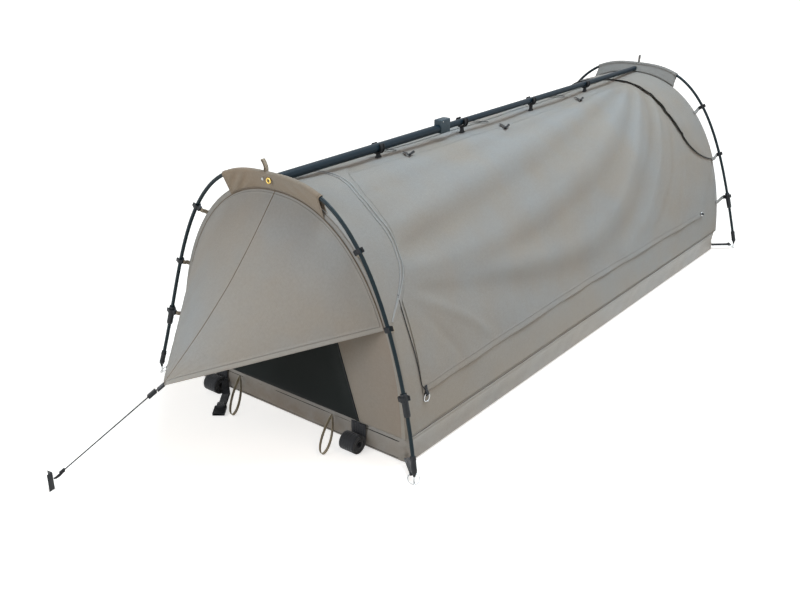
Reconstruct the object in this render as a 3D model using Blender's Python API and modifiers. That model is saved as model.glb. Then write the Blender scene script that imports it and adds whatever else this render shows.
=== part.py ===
"""Swag bedroll: a one-person canvas dome tent with its own mattress.

A canvas tunnel is sewn to a waterproof tub that holds a foam mattress. Two
hoops stand at the ends, and a telescopic ridge pole holds their crowns apart.
Clips with webbing tabs hang the canvas from the poles, and the door flap is
drawn out to a pegged guy line as an awning.

Metres, +Z up. +X points to the foot end, so the door is at -X, and the right
side, seen when facing the door, is at -Y. The origin is the centre of the
tub's underside.
"""
import math

import bmesh
import bpy
import numpy as np
from mathutils import Matrix, Vector

# Overall sizes
BODY_LENGTH = 2.150
BODY_WIDTH = 0.880
TUB_HEIGHT = 0.080
CANVAS_HEIGHT = 0.697
HALF_LENGTH = BODY_LENGTH / 2
HALF_WIDTH = BODY_WIDTH / 2
QUARTER = math.pi / 2

# Clearances
GAP = 0.0003
PLY_GAP = 0.0008
SLIDE_CLEARANCE = 0.0004
OVERRUN = 0.004
SMALL_STEP = 0.0002
WELD = 0.00001
SHARP_ANGLE = math.radians(40)

# Canvas and its section
CANVAS = 0.0015
SECTION_SIDE_POWER = 2.18
SECTION_RISE_POWER = 2.25
SIDE_SAG = 0.040
RIDGE_SAG = 0.020
HEM_HEIGHT = CANVAS_HEIGHT * 0.2611
HOOD_HEIGHT = CANVAS_HEIGHT * 0.5552
UPPER_TAB_HEIGHT = CANVAS_HEIGHT * 0.8121
STATION_COUNTS = (2, 4, 4, 6)
RIDGE_SEAM_WIDTH = 0.100
CANOPY_STEPS = 14

# Tub and mattress
TUB_WALL = 0.0030
TUB_FLOOR = 0.0020
TUB_CORNER = 0.030
MATTRESS_SLACK = 0.004
MATTRESS_HEIGHT = TUB_HEIGHT - 0.010
MATTRESS_CORNER = 0.035
MATTRESS_CROWN = 0.006
MATTRESS_TUCKS = ((0.0, 0.30), (0.12, 0.0), (0.88, 0.0), (1.0, 0.30))
CROWN_SHARES = (0.8, 0.7)
TICKING = 0.0012
ZIP_SLIT = 0.004

# Door, walls and hoods
DOOR_SILL_WIDTH = BODY_WIDTH * 0.6364
DOOR_TOP_WIDTH = BODY_WIDTH * 0.2841
DOOR_TOP_HEIGHT = CANVAS_HEIGHT * 0.8608
DOOR_CORNER = 0.060
MESH = 0.0008
MESH_LAP = 0.010
HOOD_TIP = 0.015
HOOD_DEPTHS = (0.170, 0.200)
HOOD_TURN_SHARES = (0.14, 0.09)
HOOD_POINTS = (0.120, -0.025)
HOOD_POINT_POWER = 6
HOOD_LIFT = 0.018
HOOD_RISE_POWER = 1.5
HOOD_SWELL_POWER = 0.6
HOOD_STEPS = 5
FLY_FRONT_SETBACK = 0.085
FLY_REAR_SETBACK = 0.140
FLY_STEPS = 18
FLY_FOLD_DEPTH = 0.007
FLY_FOLD_START = 0.120
FLY_FOLDS = 7
FOLD_FAN_SHARE = 0.05
FOLD_REACH_SHARE = 0.35

# Awning
AWNING_TIP = (-HALF_LENGTH - 0.395, 0.035, CANVAS_HEIGHT * 0.3759)
AWNING_TIP_WIDTH = 0.028
AWNING_SAG = 0.030
AWNING_STEPS = 8
AWNING_INSET = 0.014

# Hoops
POLE_RADIUS = 0.0055
HOOP_HALF_WIDTH = HALF_WIDTH + 0.043
HOOP_HEIGHT = CANVAS_HEIGHT + 0.035
HOOP_SIDE_POWER = 2.894
HOOP_RISE_POWER = 1.363
HOOP_STANDOFF = 0.020
FRONT_HOOP_LEAN = 0.036
FRONT_LEAN_POWER = 4
REAR_HOOP_TOP_STANDOFF = 0.026
REAR_HOOP_LEAN = 0.030
HOOP_SPLAY = 0.028
FERRULE_RADIUS = 0.0078
FERRULE_LENGTH = 0.060
FERRULE_INSERT = 0.028
BOOT_RADIUS = 0.0085
BOOT_HEIGHT = 0.077
BOOT_BOTTOM = 0.032
CLIP_HEIGHTS = (HOOP_HEIGHT * 0.2869, HOOP_HEIGHT * 0.5464, HOOP_HEIGHT * 0.8033)
JOINT_HEIGHT = CLIP_HEIGHTS[0]
PIN_RADIUS = 0.0030
CROWN_STEPS = 44
LEG_STEPS = 10

# Sleeves on the crowns of the hoops
SLEEVE_HALF_WIDTH = 0.178
SLEEVE_ROOM = 0.0009
SLEEVE_TAIL = 0.012
SLEEVE_STEPS = 15
SLEEVE_SEAM_SHARE = 0.35
SLEEVE_WRAP = (-20.0, 200.0)
SLEEVE_WRAP_POINTS = 8
EYELET_RADIUS = 0.0042

# Ridge pole
RIDGE_HEIGHT = CANVAS_HEIGHT + 0.0195
RIDGE_OUTER_RADIUS = 0.0130
RIDGE_OUTER_WALL = 0.0012
RIDGE_INNER_RADIUS = 0.0100
RIDGE_INNER_WALL = 0.0012
RIDGE_FRONT_END = 0.014
RIDGE_REAR_END = 0.006
CLAMP_PLACE = HALF_LENGTH * -0.3023
CLAMP_LENGTH = 0.049
CLAMP_WIDTH = 0.030
CLAMP_BELOW = 0.015
CLAMP_BLOCK_TOP = 0.0165
CLAMP_TOP = 0.028
CLAMP_SEAT = 0.020
CLAMP_PIN_RADIUS = 0.0022
CLAMP_EAR = 0.0045
CLAMP_PIN_SETBACK = 0.0108
BUSH_LENGTH = 0.030
RIDGE_OVERLAP = 0.120
CAP_LENGTH = 0.016
CAP_PLUG = 0.020
SPIGOT_RADIUS = 0.0034
SPIGOT_LENGTH = 0.034

# Clips
CLIP_WALL = 0.0042
CLIP_WIDTH = 0.014
CLIP_MOUTH_ANGLE = 80.0
CLIP_LUG = 0.006
CLIP_LUG_HALF = 0.0042
TAPE = 0.0020
TAPE_LAP = 0.014
RIDGE_CLIP_SHARES = (-0.6037, -0.1991, 0.2084, 0.5879)
RIDGE_CLIP_WIDTH = 0.018
RIDGE_TAB_HALF = 0.008

# Corner rings and their straps
RING_RADIUS = 0.0162
RING_WIRE = 0.0018
RING_HINGE_HEIGHT = 0.020
CORNER_STRAP_WIDTH = 0.016
CORNER_STRAP = 0.0016
CORNER_STRAP_ROOT = 0.0025
STRAP_EYE_ROOM = 0.0018

# Tie-down rings at the lower front corners of the flies
TIE_RING_RADIUS = 0.0120
TIE_RING_WIRE = 0.0017
TIE_TAB_WIDTH = 0.012
TIE_TAB_LENGTH = 0.024
TIE_TAB = 0.0012

# Roll straps, their buckle and the tape loops on the tub's front
STRAP_WIDTH = 0.050
STRAP = 0.0022
ROLL_RADIUS = 0.029
ROLL_TURNS = 4.5
ROLL_PITCH = 0.0042
ROLL_POINTS = 18
ROLL_PLACES = (HALF_WIDTH * -0.625, HALF_WIDTH * 0.625)
BUCKLE_SIZE = (0.046, 0.036, 0.009)
BUCKLE_BAR = 0.0045
BUCKLE_WINDOW = 0.010
BUCKLE_WALL = 0.004
TAIL_START = (-HALF_LENGTH - 0.0212, ROLL_PLACES[1] - 0.0354)
TAIL_END = (-HALF_LENGTH - 0.097, ROLL_PLACES[1] - 0.095)
TAIL_WIDTH = 0.025
TAIL = 0.0018
TAIL_LAP = 0.022
LOOP_TAPE_WIDTH = 0.012
LOOP_TAPE = 0.0016
LOOP_PLACES = (HALF_WIDTH * -0.4318, HALF_WIDTH * 0.4318)
LOOP_REACHES = ((-0.095, -0.048), (-0.100, -0.070))
LOOP_TOP = TUB_HEIGHT - 0.010
LOOP_LOW = 0.008
LOOP_OPENING = 0.036
LOOP_POINTS = 22

# Guy line
PEG_PLACE = (-HALF_LENGTH - 0.645, 0.214, 0.0)
ROPE_RADIUS = 0.0018
RUNNER_SIZE = (0.026, 0.013, 0.009)
GUY_STRAP_WIDTH = 0.018
PEG_HEIGHT = 0.050
PEG_WIDTH = 0.026
PEG_STEEL = 0.0025
PEG_FOLD = 0.0035
ROPE_PEG_HEIGHT = 0.0225
GUY_STRAP_LENGTH = 0.0234
RUNNER_SETBACK = 0.0039
ROPE_POINTS = 24

# Colours as linear red, green and blue, then roughness and metallic
FINISHES = {
    "canvas": ((0.335, 0.302, 0.258), 0.92, 0.0),
    "canvas_tan": ((0.255, 0.190, 0.130), 0.92, 0.0),
    "tub_fabric": ((0.300, 0.262, 0.215), 0.80, 0.0),
    "mesh": ((0.014, 0.017, 0.020), 0.90, 0.0),
    "foam": ((0.700, 0.660, 0.520), 0.95, 0.0),
    "ticking": ((0.090, 0.095, 0.105), 0.90, 0.0),
    "pole": ((0.016, 0.020, 0.026), 0.38, 0.0),
    "tube": ((0.018, 0.026, 0.036), 0.30, 0.6),
    "plastic": ((0.010, 0.012, 0.015), 0.50, 0.0),
    "clamp_plastic": ((0.105, 0.130, 0.150), 0.55, 0.0),
    "webbing": ((0.009, 0.010, 0.013), 0.85, 0.0),
    "steel": ((0.600, 0.600, 0.600), 0.25, 1.0),
    "rope": ((0.030, 0.028, 0.028), 0.85, 0.0),
}

CANVAS_BASE = TUB_HEIGHT + GAP * 2


# Scene and materials

def clear_scene():
    for item in list(bpy.data.objects):
        bpy.data.objects.remove(item, do_unlink=True)


def make_collection(name):
    found = bpy.data.collections.new(name)
    bpy.context.scene.collection.children.link(found)
    return found


def make_materials():
    made = {}
    for name, (colour, roughness, metallic) in FINISHES.items():
        item = bpy.data.materials.new(name)
        item.use_nodes = True
        shader = item.node_tree.nodes["Principled BSDF"]
        shader.inputs["Base Color"].default_value = (*colour, 1.0)
        shader.inputs["Roughness"].default_value = roughness
        shader.inputs["Metallic"].default_value = metallic
        item.diffuse_color = (*colour, 1.0)
        made[name] = item
    return made


clear_scene()
PARTS = make_collection("swag_bedroll")
CUTTERS = make_collection("cutters")
MATERIALS = make_materials()


def place(name, data, finish):
    item = bpy.data.objects.new(name, data)
    PARTS.objects.link(item)
    data.materials.append(MATERIALS[finish])
    return item


def place_cutter(name, data):
    item = bpy.data.objects.new(name, data)
    CUTTERS.objects.link(item)
    item.hide_render = True
    item.display_type = "WIRE"
    return item


def cut(item, cutter, operation="DIFFERENCE"):
    step = item.modifiers.new(cutter.name, "BOOLEAN")
    step.operation = operation
    step.solver = "EXACT"
    step.object = cutter


def shade(mesh):
    mesh.shade_smooth()
    mesh.set_sharp_from_angle(angle=SHARP_ANGLE)


# Mesh makers

def grid_mesh(name, rows):
    """An open sheet of quads through rows of points."""
    body = bmesh.new()
    lines = [[body.verts.new(point) for point in row] for row in rows]
    for near, far in zip(lines, lines[1:]):
        for index in range(len(near) - 1):
            body.faces.new((near[index], far[index], far[index + 1], near[index + 1]))
    mesh = bpy.data.meshes.new(name)
    body.to_mesh(mesh)
    body.free()
    shade(mesh)
    return mesh


def cloth(name, rows, thickness, finish):
    """A sheet whose cloth lies behind the face that the rows turn outwards."""
    item = place(name, grid_mesh(name, rows), finish)
    step = item.modifiers.new("thickness", "SOLIDIFY")
    step.thickness = thickness
    step.offset = -1.0
    return item


def outline_curve(name, points, depth, hole=None):
    """A closed flat outline, with a hole if given, extruded about its own plane."""
    curve = bpy.data.curves.new(name, "CURVE")
    curve.dimensions = "2D"
    curve.fill_mode = "BOTH"
    curve.extrude = depth / 2
    for loop in (points, hole) if hole else (points,):
        line = curve.splines.new("POLY")
        line.points.add(len(loop) - 1)
        for knot, (across, up) in zip(line.points, loop):
            knot.co = (across, up, 0.0, 1.0)
        line.use_cyclic_u = True
    return curve


def tube_curve(name, points, radius, sides=8, radii=None):
    """A round bar along points, with filled ends."""
    curve = bpy.data.curves.new(name, "CURVE")
    curve.dimensions = "3D"
    curve.bevel_depth = radius
    curve.bevel_resolution = (sides - 4) // 2
    curve.use_fill_caps = True
    line = curve.splines.new("POLY")
    line.points.add(len(points) - 1)
    for index, point in enumerate(points):
        line.points[index].co = (*point, 1.0)
        if radii:
            line.points[index].radius = radii[index] / radius
    return curve


def as_mesh(item):
    """Turns a curve object into a welded mesh object in the same place."""
    graph = bpy.context.evaluated_depsgraph_get()
    mesh = bpy.data.meshes.new_from_object(item.evaluated_get(graph))
    body = bmesh.new()
    body.from_mesh(mesh)
    bmesh.ops.remove_doubles(body, verts=body.verts, dist=WELD)
    bmesh.ops.recalc_face_normals(body, faces=body.faces)
    body.to_mesh(mesh)
    body.free()
    made = bpy.data.objects.new(item.name, mesh)
    for holder in item.users_collection:
        holder.objects.link(made)
    made.matrix_world = item.matrix_world
    made.hide_render = item.hide_render
    made.display_type = item.display_type
    name = item.name
    bpy.data.objects.remove(item, do_unlink=True)
    made.name = name
    return made


def box_mesh(name, low, high):
    body = bmesh.new()
    bmesh.ops.create_cube(body, size=1.0)
    low, high = Vector(low), Vector(high)
    for corner in body.verts:
        corner.co = Vector(a + (b - a) * (s + 0.5) for a, b, s in zip(low, high, corner.co))
    mesh = bpy.data.meshes.new(name)
    body.to_mesh(mesh)
    body.free()
    return mesh


def cylinder_mesh(name, radius, start, end, sides=16):
    body = bmesh.new()
    start, end = Vector(start), Vector(end)
    span = end - start
    turn = Vector((0, 0, 1)).rotation_difference(span).to_matrix().to_4x4()
    bmesh.ops.create_cone(body, cap_ends=True, segments=sides, radius1=radius, radius2=radius,
                          depth=span.length, matrix=Matrix.Translation((start + end) / 2) @ turn)
    mesh = bpy.data.meshes.new(name)
    body.to_mesh(mesh)
    body.free()
    shade(mesh)
    return mesh


def turned(name, profile, finish, steps=24):
    """A solid of revolution about X. Its profile lists (x, radius), outer side towards +X."""
    body = bmesh.new()
    knots = [body.verts.new((along, radius, 0.0)) for along, radius in reversed(profile)]
    closing = knots[:1] if profile[0][1] > 0 else []
    for first, second in zip(knots, knots[1:] + closing):
        body.edges.new((first, second))
    mesh = bpy.data.meshes.new(name)
    body.to_mesh(mesh)
    body.free()
    item = place(name, mesh, finish)
    step = item.modifiers.new("turn", "SCREW")
    step.axis = "X"
    step.steps = steps
    step.render_steps = steps
    step.use_merge_vertices = True
    step.merge_threshold = WELD
    return item


def frame_matrix(origin, across, up):
    """Local X along across, local Y along up, local Z along their cross product."""
    across = Vector(across).normalized()
    up = Vector(up).normalized()
    out = across.cross(up)
    turn = Matrix((across, up, out)).transposed().to_4x4()
    return Matrix.Translation(Vector(origin)) @ turn


def arc(centre, radius, start, end, steps):
    """Points on a flat arc, with angles in degrees."""
    found = []
    for angle in np.linspace(math.radians(start), math.radians(end), steps + 1):
        found.append((centre[0] + radius * math.cos(angle), centre[1] + radius * math.sin(angle)))
    return found


# The shape of the canvas tunnel

def section_angle(height):
    """The section's angle, from the right side, where it reaches a height."""
    return math.asin((height / CANVAS_HEIGHT) ** (SECTION_RISE_POWER / 2))


def canvas_face(x, angle):
    """A point on the tunnel's outer face: angle 0 is right, 180 degrees is left."""
    side = math.cos(angle)
    y = -math.copysign(HALF_WIDTH * abs(side) ** (2 / SECTION_SIDE_POWER), side)
    z = CANVAS_HEIGHT * math.sin(angle) ** (2 / SECTION_RISE_POWER)
    rise = (z - CANVAS_BASE) / (CANVAS_HEIGHT - CANVAS_BASE)
    slack = max(0.0, 1 - (x / HALF_LENGTH) ** 2)
    inward = SIDE_SAG * slack * math.sin(math.pi * min(1.0, max(0.0, rise)))
    y -= math.copysign(min(inward, abs(y)), y)
    z -= RIDGE_SAG * slack * max(0.0, rise) ** 2
    return Vector((x, y, z))


def canvas_point(x, angle, lift=0.0):
    """A point lifted off the tunnel's outer face along its normal."""
    point = canvas_face(x, angle)
    if lift == 0.0:
        return point
    along = canvas_face(x + SMALL_STEP, angle) - canvas_face(x - SMALL_STEP, angle)
    turn = SMALL_STEP / CANVAS_HEIGHT
    around = canvas_face(x, angle + turn) - canvas_face(x, angle - turn)
    return point + along.cross(around).normalized() * lift


def section_stations():
    """Angles of the lines that every canvas panel shares, base to base."""
    heights = (CANVAS_BASE, HEM_HEIGHT, HOOD_HEIGHT, UPPER_TAB_HEIGHT)
    marks = [section_angle(height) for height in heights]
    marks.append(QUARTER)
    right = []
    for start, end, count in zip(marks, marks[1:], STATION_COUNTS):
        right.extend(np.linspace(start, end, count, endpoint=False))
    right.append(QUARTER)
    left = [math.pi - angle for angle in reversed(right[:-1])]
    return [float(angle) for angle in right + left]


STATIONS = section_stations()
HEM_ANGLE = section_angle(HEM_HEIGHT)
HOOD_ANGLE = section_angle(HOOD_HEIGHT)


def stations_between(low, high):
    small = SMALL_STEP / CANVAS_HEIGHT
    return [angle for angle in STATIONS if low - small <= angle <= high + small]


def canvas_panel(name, angles, start, end, steps, lift, finish="canvas"):
    """Cloth over the tunnel between two edges, start(angle) and end(angle) in x."""
    rows = []
    for share in np.linspace(0.0, 1.0, steps + 1):
        row = []
        for angle in angles:
            x = start(angle) + (end(angle) - start(angle)) * share
            row.append(canvas_point(x, angle, lift(x, angle, share) + CANVAS))
        rows.append(row)
    return cloth(name, rows, CANVAS, finish)


def make_canopy():
    rows = []
    for x in np.linspace(-HALF_LENGTH, HALF_LENGTH, CANOPY_STEPS + 1):
        rows.append([canvas_point(x, angle) for angle in STATIONS])
    cloth("canopy", rows, CANVAS, "canvas")


def slope_angle(angle):
    """The angle up from the nearer side: both sides of the tunnel are alike."""
    return QUARTER - abs(angle - QUARTER)


def hood_share(angle):
    """How far up the hood an angle lies: 0 at its corners, 1 at the ridge."""
    share = (slope_angle(angle) - HOOD_ANGLE) / (QUARTER - HOOD_ANGLE)
    return min(1.0, max(0.0, share))


def hood_depth(angle, end):
    """How far a hood reaches in from its end: a quick turn, then a point at the ridge."""
    which = 0 if end < 0 else 1
    share = hood_share(angle)
    turn = 1 - math.exp(-share / HOOD_TURN_SHARES[which])
    point = HOOD_POINTS[which] * share ** HOOD_POINT_POWER
    return HOOD_TIP + (HOOD_DEPTHS[which] - HOOD_TIP) * turn + point


def fly_front_edge(angle):
    return -HALF_LENGTH + max(hood_depth(angle, -1) + PLY_GAP * 3, FLY_FRONT_SETBACK)


def fly_rear_edge(angle):
    below = min(1.0, max(0.0, (HOOD_ANGLE - slope_angle(angle)) / (HOOD_ANGLE - HEM_ANGLE)))
    return HALF_LENGTH - CANVAS * 4 - FLY_REAR_SETBACK * below


def make_hoods():
    angles = stations_between(HOOD_ANGLE, math.pi - HOOD_ANGLE)
    def front_edge(angle):
        return -HALF_LENGTH + hood_depth(angle, -1)

    canvas_panel("front_hood", angles, lambda angle: -HALF_LENGTH, front_edge, HOOD_STEPS,
                 lambda x, angle, share: PLY_GAP)

    def rear_edge(angle):
        return HALF_LENGTH - hood_depth(angle, 1)

    def rear_lift(x, angle, share):
        swell = max(0.0, math.sin(math.pi * hood_share(angle)))
        rise = (1 - share) ** HOOD_RISE_POWER * swell ** HOOD_SWELL_POWER
        return PLY_GAP * 2 + CANVAS + HOOD_LIFT * rise

    canvas_panel("rear_hood", angles, rear_edge, lambda angle: HALF_LENGTH, HOOD_STEPS, rear_lift)


def fly_lift(x, angle, share):
    """Drag folds that fan out from under the rear hood, raised off the canopy."""
    across = (HALF_LENGTH - x) / BODY_LENGTH
    down = (QUARTER - slope_angle(angle)) / QUARTER
    fan = math.atan2(down, across + FOLD_FAN_SHARE) / QUARTER
    wave = max(0.0, math.cos(2 * math.pi * FLY_FOLDS * fan)) ** 2
    reach = math.exp(-(across ** 2 + down ** 2) / FOLD_REACH_SHARE)
    clear = (HALF_LENGTH - hood_depth(angle, 1) - x) / FLY_FOLD_START
    edge = min(1.0, max(0.0, clear)) * math.sqrt(max(0.0, math.sin(math.pi * share)))
    return PLY_GAP + FLY_FOLD_DEPTH * wave * reach * edge


def make_flies():
    seam = math.acos((RIDGE_SEAM_WIDTH / 2 / HALF_WIDTH) ** (SECTION_SIDE_POWER / 2))
    right = stations_between(HEM_ANGLE, seam)
    left = [math.pi - angle for angle in reversed(right)]
    for name, angles in (("right", right), ("left", left)):
        fly = canvas_panel(f"side_fly_{name}", angles, fly_front_edge, fly_rear_edge, FLY_STEPS,
                           fly_lift)
        make_tie_ring(fly, name, angles[0] if name == "right" else angles[-1])


def make_tie_ring(fly, name, angle):
    """A ring at the fly's lower front corner, in the eye of a webbing tab."""
    edge = fly_front_edge(angle) + TIE_TAB_WIDTH
    bend = TIE_RING_WIRE + STRAP_EYE_ROOM
    root = down_canvas(edge, angle, bend - TIE_TAB_LENGTH, PLY_GAP + TIE_TAB)
    hinge = down_canvas(edge, angle, bend, bend + TIE_TAB + PLY_GAP)
    foot = down_canvas(edge, angle, bend + TIE_RING_RADIUS * 2, TIE_RING_WIRE + PLY_GAP)
    outline, eye = ribbon_eye(TIE_RING_RADIUS, TIE_RING_WIRE, TIE_TAB_WIDTH,
                              (hinge - root).length, TIE_TAB)
    tab = place_cutter(f"tie_tab_{name}", outline_curve(f"tie_tab_{name}", outline, TIE_TAB_WIDTH, eye))
    along = (hinge - root).normalized()
    tab.matrix_world = frame_matrix(hinge, along, along.cross(Vector((1, 0, 0))))
    cut(fly, as_mesh(tab), "UNION")
    out = (foot - hinge).normalized()
    item = hung_ring(f"tie_ring_{name}", hinge, out, TIE_RING_RADIUS, TIE_RING_WIRE)
    item.matrix_world = frame_matrix(hinge, out, Vector((1, 0, 0)))


def down_canvas(x, angle, distance, lift):
    """A point lifted off the canvas, a distance down its slope from an angle."""
    turn = math.copysign(SMALL_STEP, QUARTER - angle)
    rate = (canvas_face(x, angle + turn) - canvas_face(x, angle)).length / turn
    return canvas_point(x, angle - distance / rate, lift)


# Walls at the two ends

def end_outline(x, inset=0.0):
    return [(point.y, point.z) for point in (canvas_point(x, angle, -inset) for angle in STATIONS)]


def wall(name, outline, x, depth, finish):
    """A flat panel across the tunnel whose outline lists (y, z)."""
    item = place(name, outline_curve(name, outline, depth), finish)
    item.matrix_world = frame_matrix((x, 0, 0), (0, 1, 0), (0, 0, 1))
    return item


def door_outline(lap, base):
    """The doorway from its right foot over the top to its left foot, grown by a lap."""
    sill = DOOR_SILL_WIDTH / 2
    top = DOOR_TOP_WIDTH / 2
    lean = math.degrees(math.atan2(DOOR_TOP_HEIGHT - CANVAS_BASE, sill - top))
    foot = sill + lap
    radius = DOOR_CORNER + lap
    centre = (top - DOOR_CORNER, DOOR_TOP_HEIGHT - DOOR_CORNER)
    right = [(-y, z) for y, z in arc(centre, radius, 90 - lean, 90, 5)]
    return [(-foot, base), *right, *[(-y, z) for y, z in reversed(right)], (foot, base)]


def make_walls():
    outer = end_outline(-HALF_LENGTH)
    front = -HALF_LENGTH - GAP - CANVAS / 2
    wall("front_wall", outer + list(reversed(door_outline(0.0, CANVAS_BASE))), front, CANVAS,
         "canvas_tan")
    wall("door_mesh", door_outline(MESH_LAP, CANVAS_BASE), -HALF_LENGTH + MESH / 2, MESH, "mesh")
    wall("rear_wall", outer, HALF_LENGTH + GAP + CANVAS / 2, CANVAS, "canvas")


def make_awning():
    angles = stations_between(HOOD_ANGLE, math.pi - HOOD_ANGLE)
    x = -HALF_LENGTH - GAP * 2 - CANVAS * 2
    tip, peg, way = guy_way()
    side = way.cross(Vector((0, 0, 1))).normalized()
    rows = []
    for share in np.linspace(0.0, 1.0, AWNING_STEPS + 1):
        row = []
        for angle in angles:
            spread = (angle - QUARTER) / (QUARTER - HOOD_ANGLE)
            edge = canvas_point(-HALF_LENGTH, angle, -AWNING_INSET)
            edge.x = x
            point = edge.lerp(tip + side * (AWNING_TIP_WIDTH / 2 * spread), share)
            sag = AWNING_SAG * math.sin(math.pi * share) * (1 - spread ** 2)
            row.append(point - Vector((-sag, 0, sag)) / math.sqrt(2))
        rows.append(row)
    rows.reverse()
    cloth("awning", rows, CANVAS, "canvas")


# Tub and mattress

def rounded_rectangle(half_length, half_width, radius, steps=5):
    found = []
    for index, (x, y) in enumerate(((1, 1), (-1, 1), (-1, -1), (1, -1))):
        centre = (x * (half_length - radius), y * (half_width - radius))
        found.extend(arc(centre, radius, 90 * index, 90 * index + 90, steps))
    return found


def ring_stack(name, rings, close_bottom=True, close_top=False):
    """Joins outlines of like count, bottom to top, and caps the chosen ends."""
    body = bmesh.new()
    lines = [[body.verts.new(point) for point in ring] for ring in rings]
    for low, high in zip(lines, lines[1:]):
        for index in range(len(low)):
            after = (index + 1) % len(low)
            body.faces.new((low[index], low[after], high[after], high[index]))
    if close_bottom:
        body.faces.new(list(reversed(lines[0])))
    if close_top:
        body.faces.new(lines[-1])
    mesh = bpy.data.meshes.new(name)
    body.to_mesh(mesh)
    body.free()
    shade(mesh)
    return mesh


def level_ring(half_length, half_width, radius, z):
    return [(x, y, z) for x, y in rounded_rectangle(half_length, half_width, radius)]


def corner_signs():
    return (("front_right", -1, -1), ("front_left", -1, 1), ("rear_right", 1, -1), ("rear_left", 1, 1))


def make_tub():
    outer = [level_ring(HALF_LENGTH, HALF_WIDTH, TUB_CORNER, z) for z in (0.0, TUB_HEIGHT)]
    item = place("tub", ring_stack("tub", outer, close_top=True), "tub_fabric")
    inner_length = HALF_LENGTH - TUB_WALL
    inner_width = HALF_WIDTH - TUB_WALL
    hollow = [level_ring(inner_length, inner_width, TUB_CORNER - TUB_WALL, z)
              for z in (TUB_FLOOR, TUB_HEIGHT + OVERRUN)]
    cut(item, place_cutter("tub_hollow", ring_stack("tub_hollow", hollow, close_top=True)))
    for name, x, y in corner_signs():
        strap = corner_strap(name, x, y)
        cut(item, strap, "UNION")


def make_mattress():
    half_length = HALF_LENGTH - TUB_WALL - MATTRESS_SLACK
    half_width = HALF_WIDTH - TUB_WALL - MATTRESS_SLACK
    base = TUB_FLOOR + GAP
    skins = {}
    for skin, inset in (("cover", 0.0), ("core", TICKING), ("foam", TICKING + GAP)):
        rings = []
        for height_share, tuck_share in MATTRESS_TUCKS:
            z = base + inset + (MATTRESS_HEIGHT - inset * 2) * height_share
            tuck = MATTRESS_CORNER * tuck_share + inset
            rings.append(level_ring(half_length - tuck, half_width - tuck, MATTRESS_CORNER - inset, z))
        crown = []
        for x, y, z in rings[-1]:
            crown.append((x * CROWN_SHARES[0], y * CROWN_SHARES[1], z + MATTRESS_CROWN))
        rings.append(crown)
        skins[skin] = ring_stack(f"mattress_{skin}", rings, close_top=True)
    cover = place("mattress_cover", skins["cover"], "ticking")
    cut(cover, place_cutter("mattress_core", skins["core"]))
    middle = base + MATTRESS_HEIGHT / 2
    slit = box_mesh("cover_slit", (half_length - MATTRESS_CORNER, -half_width + MATTRESS_CORNER,
                                   middle - ZIP_SLIT / 2),
                    (half_length + OVERRUN, half_width - MATTRESS_CORNER, middle + ZIP_SLIT / 2))
    cut(cover, place_cutter("cover_slit", slit))
    place("mattress_foam", skins["foam"], "foam")


# Hoops

def hoop_point(side, height, end):
    """The pole's centre line: side -1 is right, end -1 is the door's hoop."""
    rise = (height / HOOP_HEIGHT) ** HOOP_RISE_POWER
    y = HOOP_HALF_WIDTH * max(0.0, 1 - rise) ** (1 / HOOP_SIDE_POWER) + foot_splay(height)
    return Vector((hoop_plane(end, height), side * y, height))


def foot_splay(height):
    return HOOP_SPLAY * max(0.0, 1 - height / HOOP_HEIGHT) ** FRONT_LEAN_POWER


def hoop_plane(end, height):
    drop = max(0.0, 1 - height / HOOP_HEIGHT)
    if end < 0:
        return -HALF_LENGTH - HOOP_STANDOFF - FRONT_HOOP_LEAN * drop ** FRONT_LEAN_POWER
    return HALF_LENGTH + REAR_HOOP_TOP_STANDOFF + REAR_HOOP_LEAN * drop


def hoop_arc(end, start, finish, steps):
    """Points along the hoop between two angles, from right foot 0 to left foot 180."""
    found = []
    for angle in np.linspace(start, finish, steps + 1):
        height = HOOP_HEIGHT * max(0.0, math.sin(angle)) ** (2 / HOOP_RISE_POWER)
        reach = HOOP_HALF_WIDTH * abs(math.cos(angle)) ** (2 / HOOP_SIDE_POWER)
        y = -math.copysign(reach + foot_splay(height), math.cos(angle))
        found.append(Vector((hoop_plane(end, height), y, height)))
    return found


def hoop_angle(height):
    return math.asin((height / HOOP_HEIGHT) ** (HOOP_RISE_POWER / 2))


def end_name(end):
    return "front" if end < 0 else "rear"


def side_name(side):
    return "right" if side < 0 else "left"


def make_hoop(end):
    low = hoop_angle(JOINT_HEIGHT)
    crown = hoop_arc(end, low, math.pi - low, CROWN_STEPS)
    name = f"{end_name(end)}_hoop_crown"
    place(name, tube_curve(name, crown, POLE_RADIUS), "pole")
    for side in (-1, 1):
        make_leg(end, side)


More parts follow.
